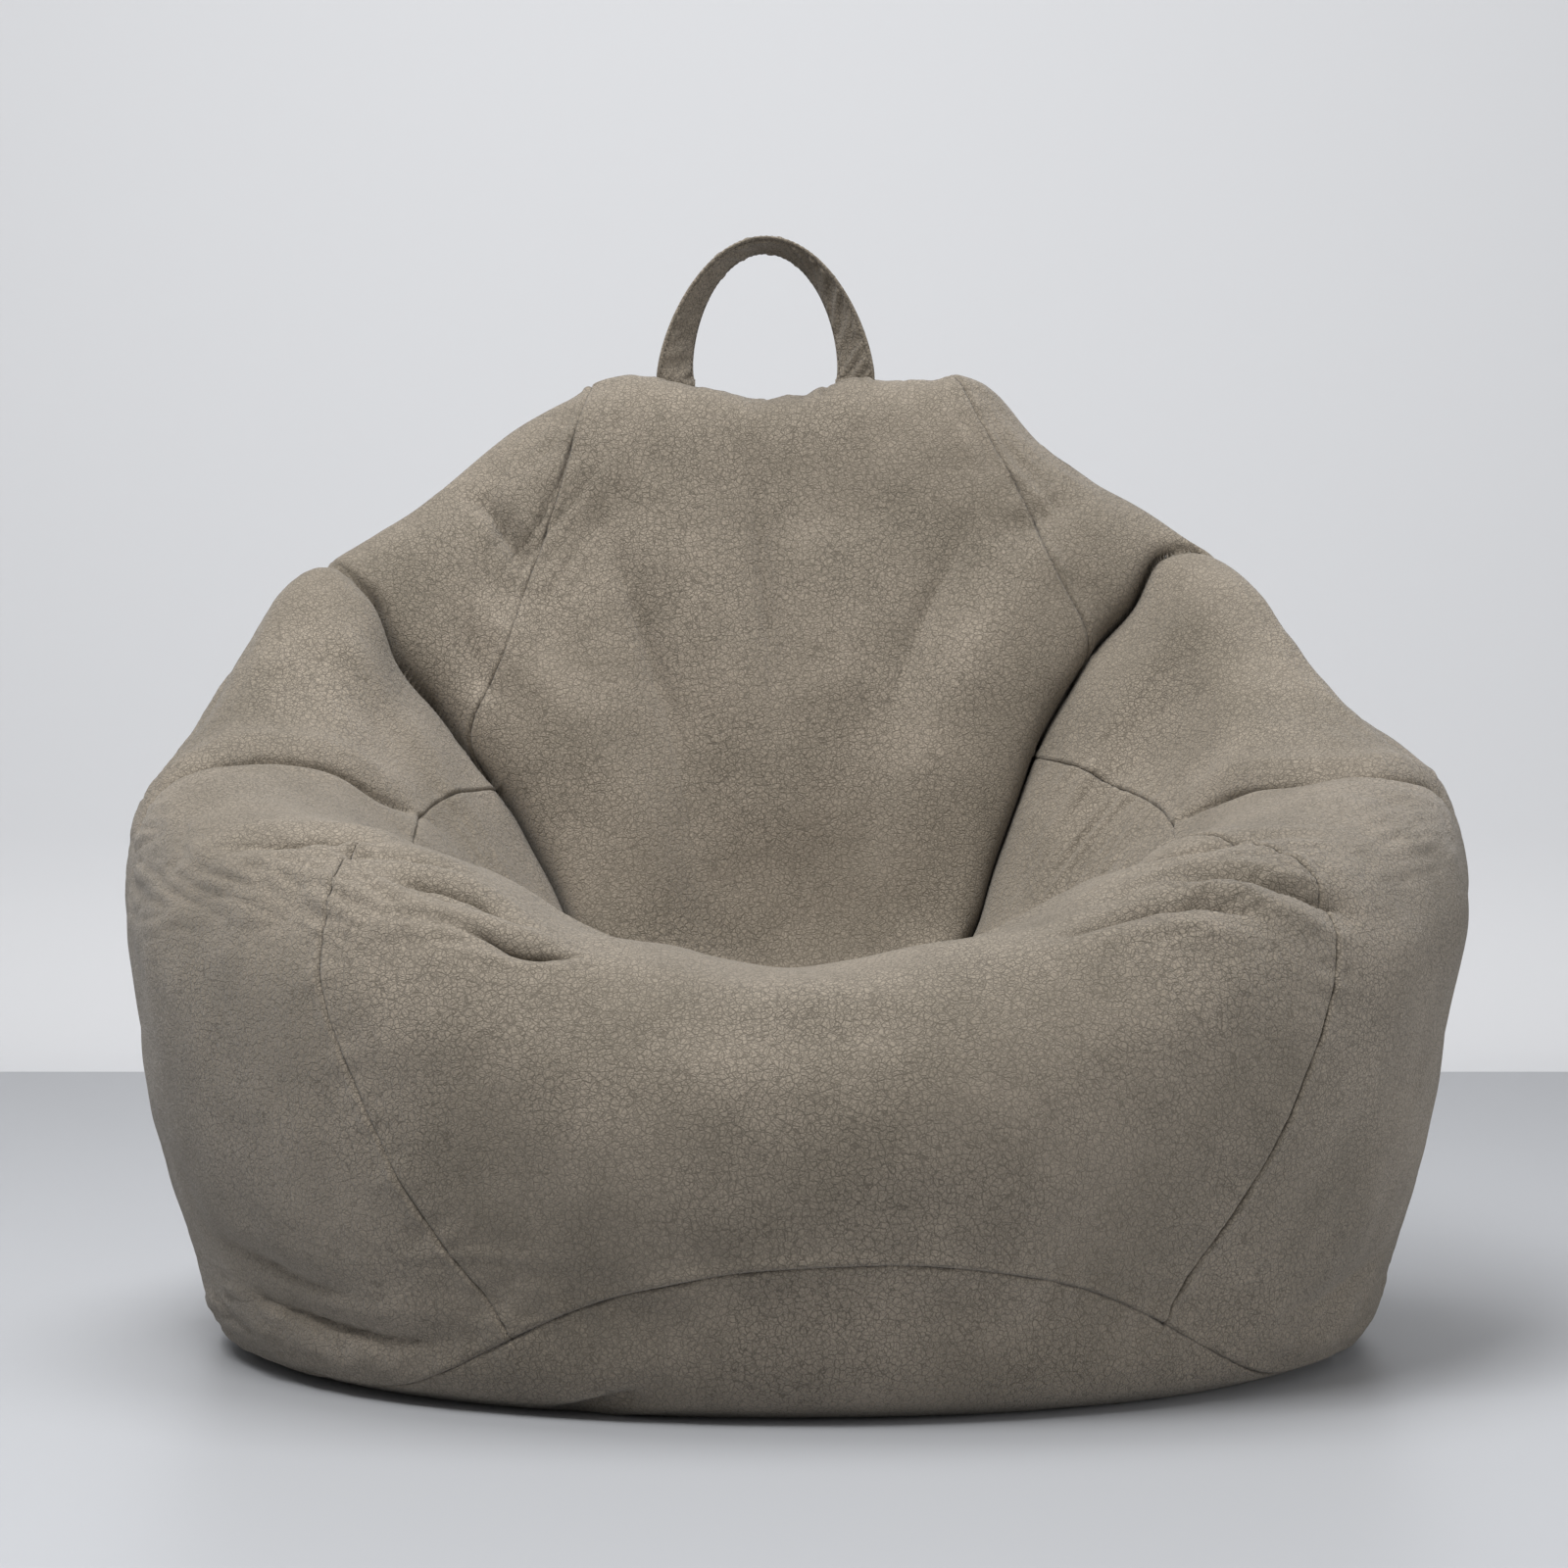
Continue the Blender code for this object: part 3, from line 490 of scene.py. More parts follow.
def add_crinkle(points, azimuth, station, plain, normals, patch, seed):
    away = away_from(patch, azimuth, station)
    rows = np.flatnonzero(away < CRINKLE_REACH)
    turn, climb = patch.run
    start, end = (form(patch.azimuth + way * turn, patch.station + way * climb) for way in (-.05, .05))
    run = (end - start) / np.linalg.norm(end - start)
    local = plain[rows] - (plain[rows] @ run)[:, None] * run * (1 - 1 / CRINKLE_STRETCH)
    wave = waves(local, patch.apart, seed, count=40, spread=.45)
    crease = 1 - 2 * np.exp(-np.abs(wave) * CREASE_SHARPNESS) + CREASE_ROLL * wave
    points[rows] += normals[rows] * (patch.rise * crease * np.exp(-away[rows]))[:, None]


BEAD_WAVES = [(.0020, .30), (.0007, .12), (.0003, .05)]     # heights and lengths of the unevenness ...
BEAD_WAVES_START = (.01, .08)                               # ... which fades in above the floor


def unevenness(plain):
    """What loose beads do to the form, as a push outwards."""
    total = sum(rise * waves(plain, length, seed) for seed, (rise, length) in enumerate(BEAD_WAVES, 1))
    return smooth_step(*BEAD_WAVES_START, plain[:, 2]) * total


# ---- building the cover's points
def rest_on_floor(points):
    """The rim of the base lies flat, and nothing goes below the floor."""
    points[:, 2] = np.maximum(points[:, 2], 0)


def narrow_foot(points):
    points[:, 0] *= 1 - FOOT_NARROWING * (1 - smooth_step(0, FOOT_HEIGHT, points[:, 2]))


azimuth, station = grid_parameters()
plain = form(azimuth, station)
normal = grid_normals(plain)
SHAPE = plain.shape
flat_plain, flat_normal = plain.reshape(-1, 3), normal.reshape(-1, 3)
points = flat_plain + flat_normal * unevenness(flat_plain)[:, None]
for swell in SWELLS:
    add_swell(points, azimuth.ravel(), station.ravel(), flat_normal, swell)
unfolded = points.copy()
for fold in filter(is_wide, FOLDS):
    add_fold(points, flat_plain, flat_normal, fold)
folded = np.linalg.norm(points - unfolded, axis=1)
rest_on_floor(points)
narrow_foot(points)


# ---- cloth
CLOTH_STEP = 2                         # the cloth has every second grid line
CLOTH_FRAMES = 22
CLOTH_CAP = .012                       # no point moves further than this
CLOTH_SETTINGS = {
    "quality": 5, "mass": .35, "tension_stiffness": 12, "compression_stiffness": 12,
    "shear_stiffness": 5, "bending_stiffness": .35, "use_pressure": True,
    "uniform_pressure_force": 2.5, "shrink_min": -.035, "vertex_group_mass": "held", "pin_stiffness": 1.0,
}
FOLD_HOLD, FOLD_HELD_DEPTH = .5, .008  # how firmly folds of this depth and more are held while settling
LEAST_HOLD = .04
BASE_HOLD = .06                        # the base holds the cover up to this many stations above its seam
ZIP_HOLD_X, ZIP_HOLD_Z = (.035, .09), (.56, .66)     # where the hold of the zip's strip fades


def grid_faces(columns, rows):
    """Corner numbers of a grid's faces, column by column."""
    c, r = np.meshgrid(np.arange(columns), np.arange(rows), indexing="ij")
    start = (c * (rows + 1) + r).ravel()
    return np.stack([start, start + rows + 1, start + rows + 2, start + 1], axis=1)


def settle(points, hold):
    """Inflates the cover as cloth on every second grid line, and returns the moves of all points."""
    whole = points.reshape(SHAPE)
    coarse = whole[:-1:CLOTH_STEP, ::CLOTH_STEP]
    weight = hold.reshape(SHAPE[:2])[:-1:CLOTH_STEP, ::CLOTH_STEP]
    columns, rows = coarse.shape[0], coarse.shape[1] - 1
    faces = grid_faces(columns, rows)
    faces %= columns * (rows + 1)
    mesh = bpy.data.meshes.new("settling")
    mesh.from_pydata(coarse.reshape(-1, 3).tolist(), [], faces.tolist())
    cloth = show("settling", mesh)
    group = cloth.vertex_groups.new(name="held")
    for index, value in enumerate(weight.ravel()):
        group.add([index], float(value), "REPLACE")
    modifier = cloth.modifiers.new("cloth", "CLOTH")
    for key, value in CLOTH_SETTINGS.items():
        setattr(modifier.settings, key, value)
    modifier.settings.effector_weights.gravity = 0
    modifier.collision_settings.use_self_collision = False
    modifier.collision_settings.use_collision = False
    scene = bpy.context.scene
    for frame_number in range(1, CLOTH_FRAMES + 1):
        scene.frame_set(frame_number)
    done = cloth.evaluated_get(bpy.context.evaluated_depsgraph_get()).to_mesh()
    moved = np.empty(len(done.vertices) * 3)
    done.vertices.foreach_get("co", moved)
    moves = moved.reshape(coarse.shape) - coarse
    scene.frame_set(1)
    bpy.data.objects.remove(cloth)
    bpy.data.meshes.remove(mesh)
    moves = np.concatenate([moves, moves[:1]])
    fine = resample(moves, np.arange(COLUMNS + 1) / CLOTH_STEP, 0)
    fine = resample(fine, np.arange(ROWS + 1) / CLOTH_STEP, 1).reshape(-1, 3)
    size = np.linalg.norm(fine, axis=1, keepdims=True)
    return fine * np.tanh(size / CLOTH_CAP) * CLOTH_CAP / np.maximum(size, 1e-9)


def resample(values, at, axis):
    """Values read between grid lines, along one axis, by smooth curves."""
    values = np.moveaxis(values, axis, -1)
    where = np.broadcast_to(at, values.shape[:-1] + at.shape)
    return np.moveaxis(hermite(np.arange(values.shape[-1]), values[..., None, :], where), -1, axis)


def holding(plain, folded):
    """How firmly each point is held while the cloth settles: 1 at the base and the zip, less in folds."""
    low = 1 - smooth_step(0, BASE_HOLD, station.ravel() - base_seam(azimuth.ravel()))
    zip_strip = (plain[:, 1] > 0) * (1 - smooth_step(*ZIP_HOLD_X, np.abs(plain[:, 0])))
    zip_strip *= 1 - smooth_step(*ZIP_HOLD_Z, plain[:, 2])
    creases = FOLD_HOLD * np.clip(folded / FOLD_HELD_DEPTH, 0, 1)
    return np.clip(LEAST_HOLD + np.maximum(np.maximum(low, zip_strip), creases), 0, 1)


points += settle(points, holding(flat_plain, folded))
for fold in FOLDS:
    if not is_wide(fold):
        add_fold(points, flat_plain, flat_normal, fold)
for seed, patch in enumerate(CRINKLES, CRINKLE_SEED):
    add_crinkle(points, azimuth.ravel(), station.ravel(), flat_plain, flat_normal, patch, seed)
rest_on_floor(points)


# ---- the zip's strip
ZIP_JOINT = next(joint for joint in frame["joints"] if joint["name"] == "zip_slide")
ZIP_UP = -Vector(ZIP_JOINT["axis"]).normalized()
ZIP_OUT = Vector((1, 0, 0)).cross(ZIP_UP) * -1
COIL_LOW, COIL_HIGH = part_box("zip_coil_left")
COIL_PROUD = .0005                     # how far the coils stand out of the cover's surface
ZIP_SLIT_HALF = .0065                  # half the opening over the coils ...
SLIT_END = .012                        # ... which closes over this height past them ...
SLIT_FADE = .06                        # ... and is felt this far to each side, within so many columns
SLIT_COLUMNS = 40
ZIP_FLAT_HALF, ZIP_EASE = .022, .045
ZIP_END_FLAT, ZIP_END_EASE = .004, .05


def zip_depth(z):
    """y of the flat strip that the zip lies in, at a height z."""
    outside = Vector((0, COIL_HIGH.y, COIL_LOW.z)) - ZIP_OUT * COIL_PROUD
    return outside.y - (z - COIL_LOW.z) * ZIP_OUT.z / ZIP_OUT.y


def flatten_zip_strip(points, station):
    """Brings the cover onto the flat strip round the zip, easing out beside and beyond it."""
    x, y, z = points.T
    share = 1 - smooth_step(ZIP_FLAT_HALF, ZIP_FLAT_HALF + ZIP_EASE, np.abs(x))
    share *= smooth_step(COIL_LOW.z - ZIP_END_EASE, COIL_LOW.z - ZIP_END_FLAT, z)
    share *= 1 - smooth_step(COIL_HIGH.z + ZIP_END_FLAT, COIL_HIGH.z + ZIP_END_EASE, z)
    share *= (y > 0) & (station < TOP_SEAM)
    y += (zip_depth(z) - y) * share


def open_slit(whole):
    """Moves the two rear edges apart over the zip's length."""
    for columns, sign in ((slice(0, SLIT_COLUMNS), -1), (slice(-SLIT_COLUMNS, None), 1)):
        x, _, z = np.moveaxis(whole[columns, ROW_BASE:ROW_TOP + 1], -1, 0)
        reach = smooth_step(COIL_LOW.z - SLIT_END, COIL_LOW.z, z)
        reach *= 1 - smooth_step(COIL_HIGH.z, COIL_HIGH.z + SLIT_END, z)
        x += sign * ZIP_SLIT_HALF * reach * np.clip(1 - np.abs(x) / SLIT_FADE, 0, 1)


flatten_zip_strip(points, station.ravel())

# ---- seams
GROOVE_DEPTH, GROOVE_WIDTH = .0012, .0011
ALLOWANCE = .0085                      # the pressed seam allowance shows as a low ridge on one side
ALLOWANCE_RISE = .0009
ALLOWANCE_EDGES = (.0025, .003)        # its soft edge at the groove, and its far one
PUCKER_RISE, PUCKER_LENGTH, PUCKER_REACH = .0009, .022, .016
PUCKER_START = .003                    # no pucker in the groove itself ...
PUCKER_FLOOR = .04                     # ... nor on the floor, fading in up to this height
PUCKER_SEED = 20
SEAM_REACH = .0352                     # how far from a seam its puckers are worked out


def seam_paths():
    """Grid indices of each seam, and the side its allowance is pressed to, as a step in (column, row)."""
    rows = np.arange(ROW_BASE, ROW_ARM + 1)
    ring = np.arange(COLUMNS + 1)
    paths = [(ring, np.full(ring.size, ROW_BASE), (0, 1))]
    for side in (LEFT, RIGHT):
        paths.append((np.full(rows.size, HALF + side * LINE_FRONT), rows, (side, 0)))
        paths.append((np.full(rows.size, HALF + side * LINE_BACK), rows, (-side, 0)))
    for columns in (np.arange(0, HALF - LINE_BACK + 1), np.arange(HALF + LINE_BACK, COLUMNS + 1)):
        paths.append((columns, np.full(columns.size, ROW_TOP), (0, -1)))
    arm = np.arange(HALF - LINE_BACK, HALF + LINE_BACK + 1)
    paths.append((arm, np.full(arm.size, ROW_ARM), (0, -1)))
    return paths


def path_samples(line, spacing=.0008):
    """Evenly spaced points along a line, and the length along it at each."""
    along = lengths(line)
    even = np.linspace(0, along[-1], int(along[-1] / spacing) + 2)
    return interpolate(even, along, line), even


def sew(points, plain):
    """Presses a groove along every seam, with its allowance and puckers beside it."""
    whole = points.reshape(SHAPE)
    normals = grid_normals(whole).reshape(-1, 3)
    push = np.zeros(len(points))
    for number, (columns, rows, step) in enumerate(seam_paths()):
        samples, along = path_samples(whole[columns, rows])
        hit, index, distance = distances(samples, points, SEAM_REACH)
        beside = whole[np.clip(columns + step[0], 0, COLUMNS), rows + step[1]] - whole[columns, rows]
        beside = interpolate(np.linspace(0, 1, len(samples)), np.linspace(0, 1, len(beside)), beside)
        pressed = np.einsum("ij,ij->i", points[hit] - samples[index], beside[index]) > 0
        groove = -GROOVE_DEPTH * np.exp(-(distance / GROOVE_WIDTH) ** 2)
        ridge = ALLOWANCE_RISE * smooth_step(0, ALLOWANCE_EDGES[0], distance)
        ridge *= 1 - smooth_step(ALLOWANCE - ALLOWANCE_EDGES[1], ALLOWANCE, distance)
        seed = PUCKER_SEED + number
        wave = waves(along[index, None] * (1, 0, 0), PUCKER_LENGTH, seed, count=24, spread=.5)
        pucker = PUCKER_RISE * np.clip(wave, -1.5, 1.5) * np.exp(-(distance / PUCKER_REACH) ** 2)
        pucker *= 1 - np.exp(-distance / PUCKER_START)
        push[hit] += groove + ridge * pressed + pucker * smooth_step(0, PUCKER_FLOOR, plain[hit, 2])
    return points + normals * push[:, None]


points = sew(points, flat_plain)
rest_on_floor(points)
cover_points = points.reshape(SHAPE)
open_slit(cover_points)


# ---- materials
def new_material(name):
    material = bpy.data.materials.new(name)
    material.use_nodes = True
    return material, material.node_tree, material.node_tree.nodes["Principled BSDF"]


def feed(tree, made, inputs):
    """Sets a node's inputs, by name or number, to values or to the outputs of other nodes."""
    for key, value in inputs.items():
        if isinstance(value, bpy.types.NodeSocket):
            tree.links.new(value, made.inputs[key])
        else:
            made.inputs[key].default_value = value


def node(tree, kind, inputs, **settings):
    """Makes a node and gives back its outputs."""
    made = tree.nodes.new("ShaderNode" + kind)
    for key, value in settings.items():
        setattr(made, key, value)
    feed(tree, made, inputs)
    return made.outputs


def object_place(tree):
    return node(tree, "TexCoord", {})["Object"]


def noise(tree, place, scale, detail, roughness=.5):
    inputs = {"Vector": place, "Scale": scale, "Detail": detail, "Roughness": roughness}
    return node(tree, "TexNoise", inputs)


def remap(tree, value, low, high, start=0.0, end=1.0, **settings):
    """Runs from low to high while the value runs from start to end."""
    inputs = {"Value": value, "From Min": start, "From Max": end, "To Min": low, "To Max": high}
    return node(tree, "MapRange", inputs, **settings)["Result"]


def ramp(tree, share, stops):
    """A colour between two stops of (position, colour)."""
    made = tree.nodes.new("ShaderNodeValToRGB")
    for element, (position, colour) in zip(made.color_ramp.elements, stops):
        element.position = position
        element.color = (*colour, 1)
    feed(tree, made, {"Fac": share})
    return made.outputs["Color"]


def bump(tree, height, strength, distance):
    return node(tree, "Bump", {"Height": height, "Strength": strength, "Distance": distance})["Normal"]


def cracks(tree, place, scale, width, floor):
    """A net of cracks between grains: floor in the cracks, 1 on the grains."""
    inputs = {"Vector": place, "Scale": scale, "Randomness": 1.0}
    cells = node(tree, "TexVoronoi", inputs, feature="DISTANCE_TO_EDGE")
    return remap(tree, cells["Distance"], floor, 1.0, end=width, interpolation_type="SMOOTHSTEP")


def suede():
    """Taupe suede-look cloth: soft mottling, fine pebbled grain with darker cracks."""
    material, tree, shader = new_material("suede")
    place = object_place(tree)
    warp = noise(tree, place, 170.0, 2.0)["Color"]
    bent = node(tree, "MixRGB", {"Fac": .005, "Color1": place, "Color2": warp}, blend_type="ADD")["Color"]
    large, small = cracks(tree, bent, 205.0, .085, 0), cracks(tree, bent, 410.0, .15, .35)
    crack = node(tree, "Math", {0: large, 1: small}, operation="MULTIPLY")["Value"]
    fine = noise(tree, place, 620.0, 4.0, .6)["Fac"]
    patches = noise(tree, place, 9.0, 5.0, .60)["Fac"]
    tone = ramp(tree, patches, [(.30, (.186, .158, .120)), (.72, (.284, .242, .190))])
    # cracks darken the colour a little, and not everywhere alike
    shade = remap(tree, crack, .50, 1.07)
    worn = remap(tree, noise(tree, place, 8.0, 4.0)["Fac"], .60, 1.0, .36, .62)
    colour = node(tree, "MixRGB", {"Fac": worn, "Color1": tone, "Color2": shade}, blend_type="MULTIPLY")
    relief = node(tree, "Math", {0: fine, 1: .35, 2: crack}, operation="MULTIPLY_ADD")["Value"]
    feed(tree, shader, {
        "Base Color": colour["Color"],
        "Normal": bump(tree, relief, .62, .0011),
        "Roughness": remap(tree, crack, .92, .74),
        "Specular IOR Level": .30,
        "Sheen Weight": .18,
        "Sheen Roughness": .45,
    })
    return material


def plain_material(name, colour, roughness, metallic=0.0, scale=300.0):
    """A plain finish with fine unevenness in colour and surface."""
    material, tree, shader = new_material(name)
    grain = noise(tree, object_place(tree), scale, 3.0)["Fac"]
    darker, lighter = ([min(c * share, 1) for c in colour] for share in (.82, 1.12))
    feed(tree, shader, {
        "Base Color": ramp(tree, grain, [(0, darker), (1, lighter)]),
        "Normal": bump(tree, grain, .3, .0002),
        "Roughness": roughness,
        "Metallic": metallic,
    })
    return material


SUEDE = suede()
LINER = plain_material("liner_cloth", (.78, .77, .74), .9)
BEADS = plain_material("eps_beads", (.93, .93, .92), .8, scale=250)
TAPE = plain_material("zip_tape", (.10, .09, .075), .9, scale=900)
COIL = plain_material("zip_coil", (.08, .07, .06), .45, scale=700)
THREAD = plain_material("thread", (.10, .084, .066), .7, scale=1500)
METAL = plain_material("zip_metal", (.32, .30, .27), .35, metallic=1.0, scale=500)


# ---- pieces
COVER_THICKNESS = .0012
SEAM_ALLOWANCE = .006
MERGE_DISTANCE = 1e-6


def link(name, mesh, material, body="bag"):
    """Puts a mesh in the scene as a piece that rides on a body, or on none yet."""
    piece = show(name, mesh)
    mesh.materials.append(material)
    mesh.shade_smooth()
    if body:
        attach(piece, body)
    return piece


def thicken(mesh, thickness):
    """Turns a surface into a closed shell by adding its inner side; the given side stays where it is."""
    sheet = bmesh.new()
    sheet.from_mesh(mesh)
    bmesh.ops.remove_doubles(sheet, verts=sheet.verts[:], dist=MERGE_DISTANCE)
    bmesh.ops.recalc_face_normals(sheet, faces=sheet.faces[:])
    sheet.to_mesh(mesh)
    sheet.free()
    holder = show("thickening", mesh)
    solid = holder.modifiers.new("solid", "SOLIDIFY")
    solid.thickness = thickness
    solid.offset = -1
    made = bpy.data.meshes.new_from_object(holder.evaluated_get(bpy.context.evaluated_depsgraph_get()))
    bpy.data.objects.remove(holder)
    made.name = mesh.name
    return made


def fold_under(tidy, depth):
    """Adds a strip behind the edges of an open sheet: the seam allowance inside the cover."""
    edges = [edge for edge in tidy.edges if edge.is_boundary]
    made = bmesh.ops.extrude_edge_only(tidy, edges=edges)
    moved = {v for v in made["geom"] if isinstance(v, bmesh.types.BMVert)}
    for edge in edges:
        for vert in edge.verts:
            vert.tag = True
    for vert in moved:
        source = next(e.other_vert(vert) for e in vert.link_edges if e.other_vert(vert).tag)
        vert.co = source.co - source.normal * depth


def grid_mesh(name, points, keep, allowance=0.0):
    """The kept faces of a grid as a mesh; keep is a boolean array (columns, rows)."""
    ids = grid_faces(*keep.shape)[keep.ravel()]
    used, faces = np.unique(ids, return_inverse=True)
    mesh = bpy.data.meshes.new(name)
    mesh.from_pydata(points.reshape(-1, 3)[used].tolist(), [], faces.reshape(ids.shape).tolist())
    tidy = bmesh.new()
    tidy.from_mesh(mesh)
    bmesh.ops.remove_doubles(tidy, verts=tidy.verts[:], dist=MERGE_DISTANCE)
    tidy.normal_update()
    if allowance:
        fold_under(tidy, allowance)
    tidy.to_mesh(mesh)
    tidy.free()
    return mesh


def zones():
    """Which panel each face of the grid belongs to."""
    column, row = np.meshgrid(np.arange(COLUMNS), np.arange(ROWS), indexing="ij")
    line = np.abs(column + .5 - HALF)
    left = column < HALF
    wall = (row >= ROW_BASE) & (row < ROW_TOP)
    ring = (row >= ROW_BASE) & (row < ROW_ARM)
    side = ring & (line > LINE_FRONT) & (line < LINE_BACK)
    rear = wall & (line > LINE_BACK)
    back = (row >= ROW_ARM) | (row >= ROW_TOP) & (line > LINE_BACK)
    return {"base": row < ROW_BASE, "front": ring & (line < LINE_FRONT), "left_side": side & left,
            "right_side": side & ~left, "back_seat": back, "rear_left": rear & left,
            "rear_right": rear & ~left}


def cover():
    """The seven sewn panels."""
    for name, keep in zones().items():
        mesh = grid_mesh(f"sewn_{name}_panel", cover_points, keep, allowance=SEAM_ALLOWANCE)
        panel = link(mesh.name, thicken(mesh, COVER_THICKNESS), SUEDE)
        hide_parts(f"cover_{name}_panel")


# ---- liner and filling
INNER_STEP = 2                         # the inner layers have every second grid line
ERODE_CELLS = 14                       # a layer is as deep as the cover's lowest point within these
SOFTEN_TIMES = 6
LINER_GAP, FILLING_GAP = .0085, .0125
INNER_LIMIT = -.050                    # the walls are too near each other for a deeper move
BASE_CLEAR = .0062                     # above the liner's own base and its zip
LINER_CLOTH_THICKNESS = .0006


def spread_low(values, cells):
    """Each value becomes the lowest within a few cells of it, round the ring and along the rows."""
    shifts = [way * shift for shift in range(1, cells + 1) for way in (-1, 1)]
    for axis in (0, 1):
        values = np.minimum.reduce([values] + [moved_by(values, shift, axis) for shift in shifts])
    return values


def moved_by(values, shift, axis):
    """The values moved along the grid: round the ring, or along the rows, whose ends repeat."""
    if axis == 0:
        return np.roll(values, shift, axis=0)
    index = np.clip(np.arange(values.shape[1]) - shift, 0, values.shape[1] - 1)
    return values[:, index]


def soften(values):
    for _ in range(SOFTEN_TIMES):
        for axis in (0, 1):
            values = (moved_by(values, 1, axis) + 2 * values + moved_by(values, -1, axis)) / 4
    return values


def inner_points(gap):
    """A layer inside the cover that keeps clear of its folds."""
    moves = cover_points - plain
    push = np.einsum("crk,crk->cr", moves, normal)
    aside = np.linalg.norm(moves - normal * push[..., None], axis=2)
    push = np.maximum(soften(spread_low((push - aside)[:-1], ERODE_CELLS)), INNER_LIMIT) - gap
    push = np.concatenate([push, push[:1]])
    made = plain + normal * push[..., None]
    made[..., 2] = np.maximum(made[..., 2], BASE_CLEAR + gap - LINER_GAP)
    made = made[::INNER_STEP, ::INNER_STEP]
    made[:, 0] = made[0, 0]
    made[:, -1] = made[0, -1]
    return made


def liner_base(cad_name):
    """The CAD base panel of the liner, drawn inwards wherever the cover has folded in."""
    tidy = bmesh.new()
    tidy.from_mesh(frame["nodes"][cad_name].data)
    bmesh.ops.subdivide_edges(tidy, edges=tidy.edges[:], cuts=3, use_grid_fill=True)
    layer = inner_points(LINER_GAP).reshape(-1, 3)
    form_points = plain[::INNER_STEP, ::INNER_STEP].reshape(-1, 3)
    for vert in tidy.verts:
        if vert.co.z > BASE_CLEAR:
            nearest = np.argmin(((form_points - np.array(vert.co)) ** 2).sum(axis=1))
            vert.co += Vector(layer[nearest] - form_points[nearest])
    mesh = bpy.data.meshes.new(cad_name)
    tidy.to_mesh(mesh)
    tidy.free()
    return link(cad_name.replace("liner_", "liner_soft_"), mesh, LINER)


def inner_layers():
    """The liner's halves and bases, and the bead filling inside them."""
    liner = inner_points(LINER_GAP)
    columns, rows = liner.shape[0] - 1, liner.shape[1] - 1
    column, row = np.meshgrid(np.arange(columns), np.arange(rows), indexing="ij")
    wall = row * INNER_STEP >= ROW_BASE
    for side, mine in (("left", column < columns // 2), ("right", column >= columns // 2)):
        mesh = grid_mesh(f"liner_{side}_half", liner, wall & mine)
        half = link(mesh.name, thicken(mesh, LINER_CLOTH_THICKNESS), LINER)
        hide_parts(f"liner_{side}_shell")
    for side in ("front", "rear"):
        base = liner_base(f"liner_base_{side}")
        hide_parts(f"liner_base_{side}")
    mesh = grid_mesh("beads", inner_points(FILLING_GAP), row >= 0)
    filling = link("beads", mesh, BEADS)
    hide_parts("bead_filling")


# ---- handle
STRAP_WIDTH, STRAP_THICKNESS = .034, .0040
STRAP_TWIST = (26, 74)                 # degrees between the strap's face and the loop's plane
STRAP_STITCH_IN, STRAP_GROOVE = .0026, .0004
STRAP_WRINKLE, STRAP_WRINKLE_LENGTH = .0012, .010
STRAP_WRINKLE_SLANT = .9
ROOT_DEPTH = .030                      # how far the strap runs on into the top seam
STITCH_LENGTH, STITCH_PITCH, THREAD_RADIUS = .0030, .0042, .00028
STITCH_RINGS, THREAD_SIDES = 7, 6
STITCH_LIFT, STITCH_DIP = 1.1, 2.6     # how far a stitch stands out, and dips at its ends, in radii
WEBBING_WIDTH, WEBBING_THICKNESS, WEBBING_RIB = .024, .0007, .0024
HANDLE_JOINT = next(joint for joint in frame["joints"] if joint["name"] == "handle_hinge")
HANDLE_ROOT = Vector(HANDLE_JOINT["pos_m"])
HANDLE_AXIS = Vector(HANDLE_JOINT["axis"])
HANDLE_TURN = Matrix.Rotation(math.atan2(HANDLE_AXIS.y, HANDLE_AXIS.x), 3, "Z")
SLEEVE_LOW, SLEEVE_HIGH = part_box("handle_sleeve")
HANDLE_HALF_WIDTH = (SLEEVE_HIGH.x - SLEEVE_LOW.x) / 2 - .0003
HANDLE_HEIGHT = SLEEVE_HIGH.z - HANDLE_ROOT.z - .0010


def strap_frame(share):
    """Centre line, width direction and face direction of the strap; share runs root to root, and on
    below the roots by going below 0 or above 1."""
    def outer_edge(angle):
        rise = max(math.sin(angle), 0) ** (4 / 3)
        return Vector((-HANDLE_HALF_WIDTH * math.cos(angle), 0, HANDLE_HEIGHT * rise))

    inside = min(max(share, 0), 1)
    angle = math.pi * inside
    step = .01                         # radians
    tangent = (outer_edge(min(angle + step, math.pi)) - outer_edge(max(angle - step, 0))).normalized()
    inwards = Vector((0, 1, 0)).cross(tangent)
    twist = math.radians(STRAP_TWIST[0] + (STRAP_TWIST[1] - STRAP_TWIST[0]) * math.sin(angle))
    across = inwards * math.cos(twist) + Vector((0, 1, 0)) * math.sin(twist)
    out = tangent.cross(across)
    centre = outer_edge(angle) + inwards * (STRAP_WIDTH * math.cos(twist) / 2)
    centre += tangent * (share - inside)
    return HANDLE_ROOT + HANDLE_TURN @ centre, HANDLE_TURN @ across, HANDLE_TURN @ out


def strap_shares():
    """Shares along the strap; outside 0 to 1 the difference is a length in metres."""
    below = np.linspace(-ROOT_DEPTH, 0, 9)[:-1]
    return np.concatenate([below, np.linspace(0, 1, 150), 1 - below[::-1]])


def strap_section():
    """Places across the strap, close together at the stitch lines and the edges."""
    edge = STRAP_WIDTH / 2
    stitch = edge - STRAP_STITCH_IN
    half = [0, .2 * edge, .4 * edge, .6 * edge, stitch - .0018, stitch - .0007, stitch, stitch + .0007,
            stitch + .0015, edge - .0006, edge]
    return np.array([-h for h in half[:0:-1]] + half)


